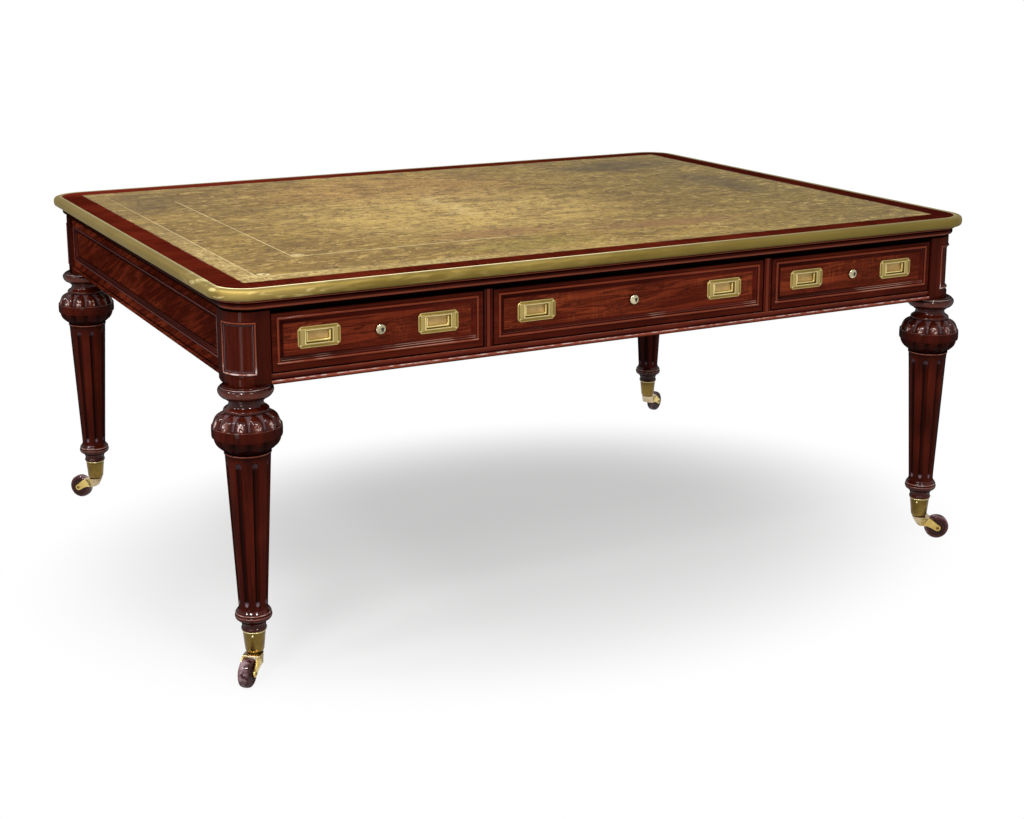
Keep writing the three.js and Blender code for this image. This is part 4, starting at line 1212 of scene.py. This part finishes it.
def panel_moulding(half, foot):
    """Moulding seated round a sunk panel: a raised fillet, a hollow and a fine inner line."""
    shape = new_shape()
    low, high = panel_heights(foot)
    half_width, half_height = half - PANEL_END, (high - low) / 2
    ruled_grid(shape, [-half_width, half_width], [-half_height, half_height])
    move_to(shape, (0, 0, -4.99))
    face = face_at(shape, (0, 0, 0))
    # The notes paint shade in the quirks and highlights on the fillet and the inner line.
    steps = [(0.02, 5.0, 1), (0.3, 6.4, 0), (0.9, 7.1, -0.7), (2.4, 7.2, -0.8), (3.2, 6.7, 0)]
    steps += [(3.6, 5.8, 0.9), (4.4, 5.1, 0.4), (5.6, 4.5), (6.8, 3.6), (7.4, 2.6, 0.9), (7.9, 2.4, 0.4)]
    steps += [(8.6, 2.5, -0.5), (9.0, 1.6, 0.4), (9.8, 0.9), (11, 0.01, 1)]
    stepped(shape, face, steps)
    bmesh.ops.delete(shape, geom=[face], context="FACES_ONLY")
    rims = [edge for edge in shape.edges if edge.is_boundary]
    bmesh.ops.bridge_loops(shape, edges=rims)
    close_up(shape)
    face_front(shape, (0, 0, (low + high) / 2))
    return shape


def panelled_sides():
    """Left end, right end and back of the frieze."""
    sides = [
        ("left_end", 550, 588, (-842, 0, 0), 270, "end_panel", "end"),
        ("right_end", 550, 588, (842, 0, 0), 90, "end_panel", "end"),
        ("back", 773, 577, (0, 619, 0), 180, "back_panel", "rail"),
    ]
    for name, half, foot, place, turn, panel, trim in sides:
        rail = panelled_rail(half, foot)
        move_to(rail, place, turn)
        piece(f"{name}_frieze", rail, "table", [panel], [f"{name}_rail"])
        moulding = panel_moulding(half, foot)
        move_to(moulding, place, turn)
        piece(f"{name}_moulding", moulding, "table", [trim], [f"{name}_panel_moulding"])


def front_rail():
    """Rail below the drawers, with the bead along its foot."""
    shape = new_shape()
    section = bead_section(FRONT_FOOT, 8, 4.5) + [(71, FRONT_FOOT), (71, FRONT_TOP)]
    section += [(0.9, FRONT_TOP), (0.3, 596.2), (0, 595.4), (0, 593.6), (0, 591), (0.2, 588.8)]
    run_of(shape, section, FRONT_HALF)
    # Painted highlights on the bead and along the rail's top edge, painted shade in the quirks.
    levels = [(577, 0.8), (578.6, 0.3), (580.6, -0.6), (583, -0.75), (583.6, -1), (584.8, -1), (585.2, 1)]
    levels += [(586.3, 0.9), (588.8, 0), (593.6, -0.3), (595.2, -0.3), (596.2, -0.9), (596.5, -0.9)]
    mark(shape, levels)
    move_to(shape, (0, FRONT_PLANE, 0))
    piece("front_bead_rail", shape, "table", ["rail"], ["front_bottom_rail"])


def drawer_stiles():
    """Stiles between the drawers, worked with two quirks down their faces."""
    half = [(8.5, 71), (8.5, 0.5), (8, 0), (5.2, 0), (4.9, 1.1), (4.4, 1.1), (4.1, 0.2), (2.6, -0.5)]
    outline = [(-x, depth) for x, depth in half] + [(0, -0.7)] + half[::-1]
    # Painted shade in the two quirks and at the edges, a painted highlight down the middle.
    across = [(0, -0.6), (2.6, -0.5), (4.1, 0), (4.4, 1), (4.9, 1), (5.2, 0), (8, 0), (8.5, 0.8)]
    for side, sign in SIDES.items():
        shape = new_shape()
        prism(shape, [(x, depth, FRONT_TOP) for x, depth in outline], (0, 0, STILE_HEIGHT))
        mark(shape, across, lambda place: abs(place.x))
        move_to(shape, (sign * STILE_X, FRONT_PLANE, 0))
        piece(f"quirked_stile_{side}", shape, "table", ["stile"], [f"drawer_stile_{side}"], 25)


# Drawers: width of the crossband border at the sides, and the heights that its bead stands between

BORDER_SIDE = 11
BEAD_FOOT = DRAWER_FOOT + 13.5
BEAD_TOP = DRAWER_TOP - 8.5


def paint_bead_light(shape, half):
    """Paints light on the bead by side: towards the right its sunk places lean to a painted highlight,
    towards the left its raised places keep three quarters of their painted shade and highlight.
    """
    depth = shape.verts.layers.float["depth"]
    for vert in shape.verts:
        x, y, height = vert.co
        from_left, from_right = half - BORDER_SIDE + x, half - BORDER_SIDE - x
        from_foot, from_top = height - BEAD_FOOT, BEAD_TOP - height
        if not 0 < min(from_foot, from_right, from_left, from_top) < 13.6:
            continue
        if from_right < from_left and y > FRONT_PLANE + 0.35:
            vert[depth] = vert[depth] * 0.6 - 0.4
        elif from_left < from_right and y < FRONT_PLANE:
            vert[depth] *= 0.75


def drawer_front(drawer, middle, half, handle):
    """Drawer front: crossband border, raised bead, stepped cove and a sunk flame field."""
    shape = new_shape()
    block(shape, (-half, FRONT_PLANE, DRAWER_FOOT), (half, -599, DRAWER_TOP))
    # Painted shadow on the top face.
    face_towards(shape.faces, (0, 0, 1)).material_index = 3
    front = face_towards(shape.faces, (0, -1, 0))
    # Painted shadow in a band round the edge of the front.
    stepped(shape, front, [(0.02, -0.02, 1), (1.8, -0.02, 1), (2.8, 0, 0.2), (4, 0)])
    parts = [front]
    cut_across(shape, [BORDER_SIDE - half, half - BORDER_SIDE], 0, parts)
    cut_across(shape, [BEAD_FOOT, BEAD_TOP], 2, parts)
    field = face_at(shape, (0, FRONT_PLANE, (BEAD_FOOT + BEAD_TOP) / 2))
    for face in shape.faces:
        if face.normal.y < -0.9:
            face.material_index = 1
    field.material_index = 2
    # The notes paint highlights on the bead and shade in the cove's quirks.
    bead = [(0.25, -0.2, 0.9), (0.5, 0.6, 0.1), (1.4, 2.0, -0.5), (2.8, 2.9, -0.75), (4.2, 3, -0.7)]
    bead += [(5.4, 2.4, -0.4), (6.2, 1.3, 0.2), (6.7, 0, 1)]
    cove = [(7.3, -0.4, 0.9), (7.7, -0.6, 0.3), (8.6, -0.8, 0.3), (9.0, -1.7, 0.9), (9.6, -2.0, 0.8)]
    cove += [(10.1, -2.2, 0.4), (10.9, -2.5, 0.4), (11.3, -3.4, 0.9), (12.2, -3.8, 0.8), (13.4, -4, 0.6)]
    stepped(shape, field, bead + cove + [(15.8, -4)])
    field.material_index = 0
    paint_bead_light(shape, half)
    parts = [field]
    cut_across(shape, [-handle - SEAT_X, SEAT_X - handle, handle - SEAT_X, handle + SEAT_X], 0, parts)
    cut_across(shape, [HANDLE_HEIGHT - SEAT_Y, HANDLE_HEIGHT + SEAT_Y], 2, parts)
    for pan in (-handle, handle):
        seat = face_at(shape, (pan, FIELD_PLANE, HANDLE_HEIGHT))
        stepped(shape, seat, [(0.02, -11)])
    move_to(shape, (middle, 0, 0))
    coats = ["drawer", "border", "bead", "shadow"]
    name = f"panelled_drawer_{drawer}"
    piece(name, shape, f"drawer_{drawer}", coats, [f"drawer_front_{drawer}"])


def handle_plate(drawer, side, place):
    """Flush plate with clipped corners, a fine line, a rimmed window, a sunk pan and four screws."""
    shape = new_shape()
    ruled_grid(shape, [-42, 42], [-20.5, 20.5])
    corners = shape.verts[:]
    bmesh.ops.bevel(shape, geom=corners, offset=6, segments=1, profile=0.5, affect="VERTICES", material=-1)
    move_to(shape, (0, 0, -1.5))
    face = face_at(shape, (0, 0, 0))
    # The notes paint highlights on the plate's edge, the fine line and the window's rim, and shade in the
    # line's groove and down the window.
    flange = [(0.02, 1.9, 0.3), (0.4, 2.4, -0.5), (1.0, 2.5, -0.5), (1.5, 2.5), (4.1, 2.5)]
    stepped(shape, face, flange + [(4.3, 2.3, 0.9), (4.8, 2.3, 0.9), (5.1, 2.5, -0.4), (5.4, 2.5, -0.2)])
    parts = [face]
    cut_across(shape, [-28.5, 28.5], 0, parts)
    cut_across(shape, [-14.5, 14.5], 1, parts)
    rim = [(0.3, 0.5, 0.2), (0.8, 0.9, -0.6), (1.8, 1.0, -0.8), (2.6, 0.7, 0), (2.95, 0, 0.3)]
    stepped(shape, face_at(shape, (0, 0, 0)), rim + [(3.4, -1.4, 0.1), (3.7, -6.6, 0.25), (4.2, -8.0)])
    close_up(shape)
    bmesh.ops.solidify(shape, geom=shape.faces[:], thickness=1.2)
    for part in shape.faces:
        if -7.6 < part.calc_center_median().z < -5.5 and part.normal.z > 0.5:
            part.material_index = 1
    for corner in ((-36.5, -15, 0), (-36.5, 15, 0), (36.5, -15, 0), (36.5, 15, 0)):
        screw = new_shape()
        turned(screw, [(0, 0.6), (2.1, 0.6), (2.1, 1.1), (1.6, 1.35), (0, 1.5)], 12)
        # Painted highlight on the screw's head, darker round its edge.
        mark(screw, [(1.7, -0.7), (2.0, 1)], off_axis)
        move_to(screw, corner)
        add_shape(shape, screw)
    face_front(shape, place)
    node = f"handle_plate_{drawer}_{side}"
    coats = ["plate_brass", "pan"]
    piece(f"brass_plate_{drawer}_{side}", shape, f"drawer_{drawer}", coats, [node])


def handle_bail(drawer, side, place):
    """U-shaped bail, hung by its pins from the sides of the pan."""
    shape = new_shape()
    ruled_grid(shape, [-24.5, -20.9, 20.9, 24.5], [-18.8, -15.2, 1.8])
    opening = face_at(shape, (0, -6.7, 0))
    bmesh.ops.delete(shape, geom=[opening], context="FACES")
    thicken(shape, shape.faces[:], (0, 0, 4.5))
    move_to(shape, (0, 0, -1.9))
    edges = [edge for edge in shape.edges if edge.calc_face_angle(0) > 0.5]
    bmesh.ops.bevel(shape, geom=edges, offset=1.2, segments=3, profile=0.5, affect="EDGES", material=-1)
    for turn in (-90, 90):
        pin = new_shape()
        turned(pin, [(0, 22.5), (1.4, 22.5), (1.4, 25.2), (0, 25.2)], 12)
        move_to(pin, (0, 0, 0), turn, "Y")
        add_shape(shape, pin)
    face_front(shape, place)
    node = f"handle_bail_{drawer}_{side}"
    body = f"bail_{drawer}_{side}"
    piece(f"brass_bail_{drawer}_{side}", shape, body, ["bail_brass"], [node])


def drawer_lock(drawer, x):
    """Domed lock with its keyhole low on the right."""
    shape = new_shape()
    dome = smooth_outline(0.8, [(10.5, 4.2), (10.2, 5.8), (9, 7.2), (6.4, 8.2), (3, 8.5), (0, 8.55)])
    turned(shape, [(0, -12), (10, -12), (10, -0.2), (10.5, 0), (10.5, 3.4)] + dome, 40)
    # Painted shadow: a dark insert stands in for the keyhole.
    hole = new_shape()
    drop = [(-1.6, -5.4), (1.6, -5.4)] + arc(3.2, -50, 230, 12)
    prism(hole, [(across, up, 0) for across, up in drop], (0, 0, 8.75))
    move_to(hole, (2.2, 0.6, 0))
    for face in hole.faces:
        face.material_index = 1
    add_shape(shape, hole)
    face_front(shape, (x, FIELD_PLANE, HANDLE_HEIGHT))
    name = f"domed_lock_{drawer}"
    coats = ["lock_brass", "hole"]
    piece(name, shape, f"drawer_{drawer}", coats, [f"drawer_lock_{drawer}"], 40)


def drawers():
    for drawer, (middle, half, handle) in DRAWERS.items():
        drawer_front(drawer, middle, half, handle)
        drawer_lock(drawer, middle)
        for side, sign in SIDES.items():
            x = middle + sign * handle
            handle_plate(drawer, side, (x, FIELD_PLANE, HANDLE_HEIGHT))
            handle_bail(drawer, side, (x, BAIL_PLANE, BAIL_HEIGHT))


# Pieces kept from the drawing

def finish_node(name, coat, bevel=0.0):
    """Gives a piece from the drawing its finish, and eases its edges."""
    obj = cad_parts[name]
    obj.data.materials.clear()
    obj.data.materials.append(FINISHES[coat])
    if bevel:
        easing = obj.modifiers.new("eased_edges", "BEVEL")
        easing.width = bevel
        easing.segments = 2
        easing.limit_method = "ANGLE"


def kept_pieces():
    finish_node("crossband_border", "crossband")
    finish_node("leather_inset", "leather")
    finish_node("top_board", "top")
    # Painted shadow on the rail over the drawers.
    finish_node("front_top_rail", "shadow", 0.0005)
    for side in SIDES:
        finish_node(f"drawer_runner_inner_{side}", "runner", 0.0006)
        finish_node(f"drawer_runner_outer_{side}", "runner", 0.0006)
    for drawer in DRAWERS:
        finish_node(f"drawer_box_{drawer}", "box", 0.0008)


# Studio

def seen_straight(finish):
    """1 for what is seen, also in shine and through glass, and 0 for what lights the table."""
    rays = ("Is Camera Ray", "Is Glossy Ray", "Is Transmission Ray")
    camera_ray, glossy, clear = [finish.add("ShaderNodeLightPath", {}, {}, ray) for ray in rays]
    return camera_ray.most(glossy).most(clear)


def studio_floor():
    """Pale floor that keeps the shadow and fades to white away from the table."""
    shape = new_shape()
    bmesh.ops.create_grid(shape, x_segments=1, y_segments=1, size=14)
    mesh = bpy.data.meshes.new("studio_floor")
    shape.to_mesh(mesh)
    shape.free()
    floor = show("studio_floor", mesh)
    finish = Finish("studio_floor_paint")
    away = oval(finish.axes(), (-20, -120), (1120, 860)).ramp(0.15, 1.1, 0.5, 1)
    white = finish.add("ShaderNodeEmission", {}, {"Color": (1, 1, 1, 1), "Strength": 1.0})
    finish.surface((0.62, 0.62, 0.62, 1), 0.9)
    finish.set("Specular IOR Level", 0.0)
    paint = Level(finish, finish.shader.outputs[0])
    sockets = {0: away * seen_straight(finish), 1: paint, 2: white}
    mixed = finish.add("ShaderNodeMixShader", {}, sockets)
    finish.join(finish.nodes["Material Output"].inputs["Surface"], mixed)
    mesh.materials.append(finish.material)


def studio_world():
    """White all round for what is seen, and a plain level for what lights the table."""
    world = bpy.data.worlds.new("studio")
    bpy.context.scene.world = world
    finish = Finish("studio", world)
    finish.set("Color", (1, 1, 1, 1))
    finish.set("Strength", seen_straight(finish).ramp(0, 1, 0.52, 1))


def softbox(name, place, size, power, aim=(0, 0, 0.45), shine_only=False):
    """A softbox aimed at the table, or a card that only shows in what shines."""
    lamp = bpy.data.lights.new(name, "AREA")
    lamp.shape = "RECTANGLE"
    lamp.size, lamp.size_y = size
    lamp.energy = power
    obj = show(name, lamp)
    obj.location = place
    obj.rotation_euler = (Vector(aim) - Vector(place)).to_track_quat("-Z", "Y").to_euler()
    obj.visible_diffuse = not shine_only


def studio_lamps():
    """Four softboxes, a small glint at the same place as each, and one low card."""
    lamps = [
        ("front_left", (-2.24, -2.12, 3.4), 0.8, 60, 54),
        ("front", (-0.41, -3.16, 3.4), 0.7, 31, 46),
        ("left", (-3.37, -1.06, 3.2), 0.6, 22, 36),
        ("back_left", (-3.21, 0.41, 3.2), 0.6, 22, 36),
    ]
    near_leg = (-0.81, -0.59, 0.55)
    for name, place, size, power, _ in lamps:
        softbox(f"lamp_{name}", place, (size, size), power)
    for name, place, *_, glint in lamps:
        softbox(f"glint_{name}", place, (0.2, 0.2), glint, near_leg, True)
    softbox("card_low_left", (-2.2, -1.72, 0.25), (0.4, 0.6), 8, near_leg, True)


def camera():
    """The view of the photograph."""
    data = bpy.data.cameras.new("camera")
    data.sensor_width = 36
    data.sensor_fit = "HORIZONTAL"
    data.lens = 59.37
    data.shift_y = -0.1
    data.clip_end = 100
    obj = show("camera", data)
    obj.location = (-1.7734, -3.4426, 1.3830)
    obj.rotation_euler = (QUARTER - 0.2197, 0, -0.4872)
    bpy.context.scene.camera = obj


def main():
    kept_pieces()
    brass_edge()
    cornice()
    legs()
    castors()
    panelled_sides()
    front_rail()
    drawer_stiles()
    drawers()
    studio_floor()
    studio_world()
    studio_lamps()
    camera()
    bpy.context.scene.view_settings.view_transform = "Standard"


main()
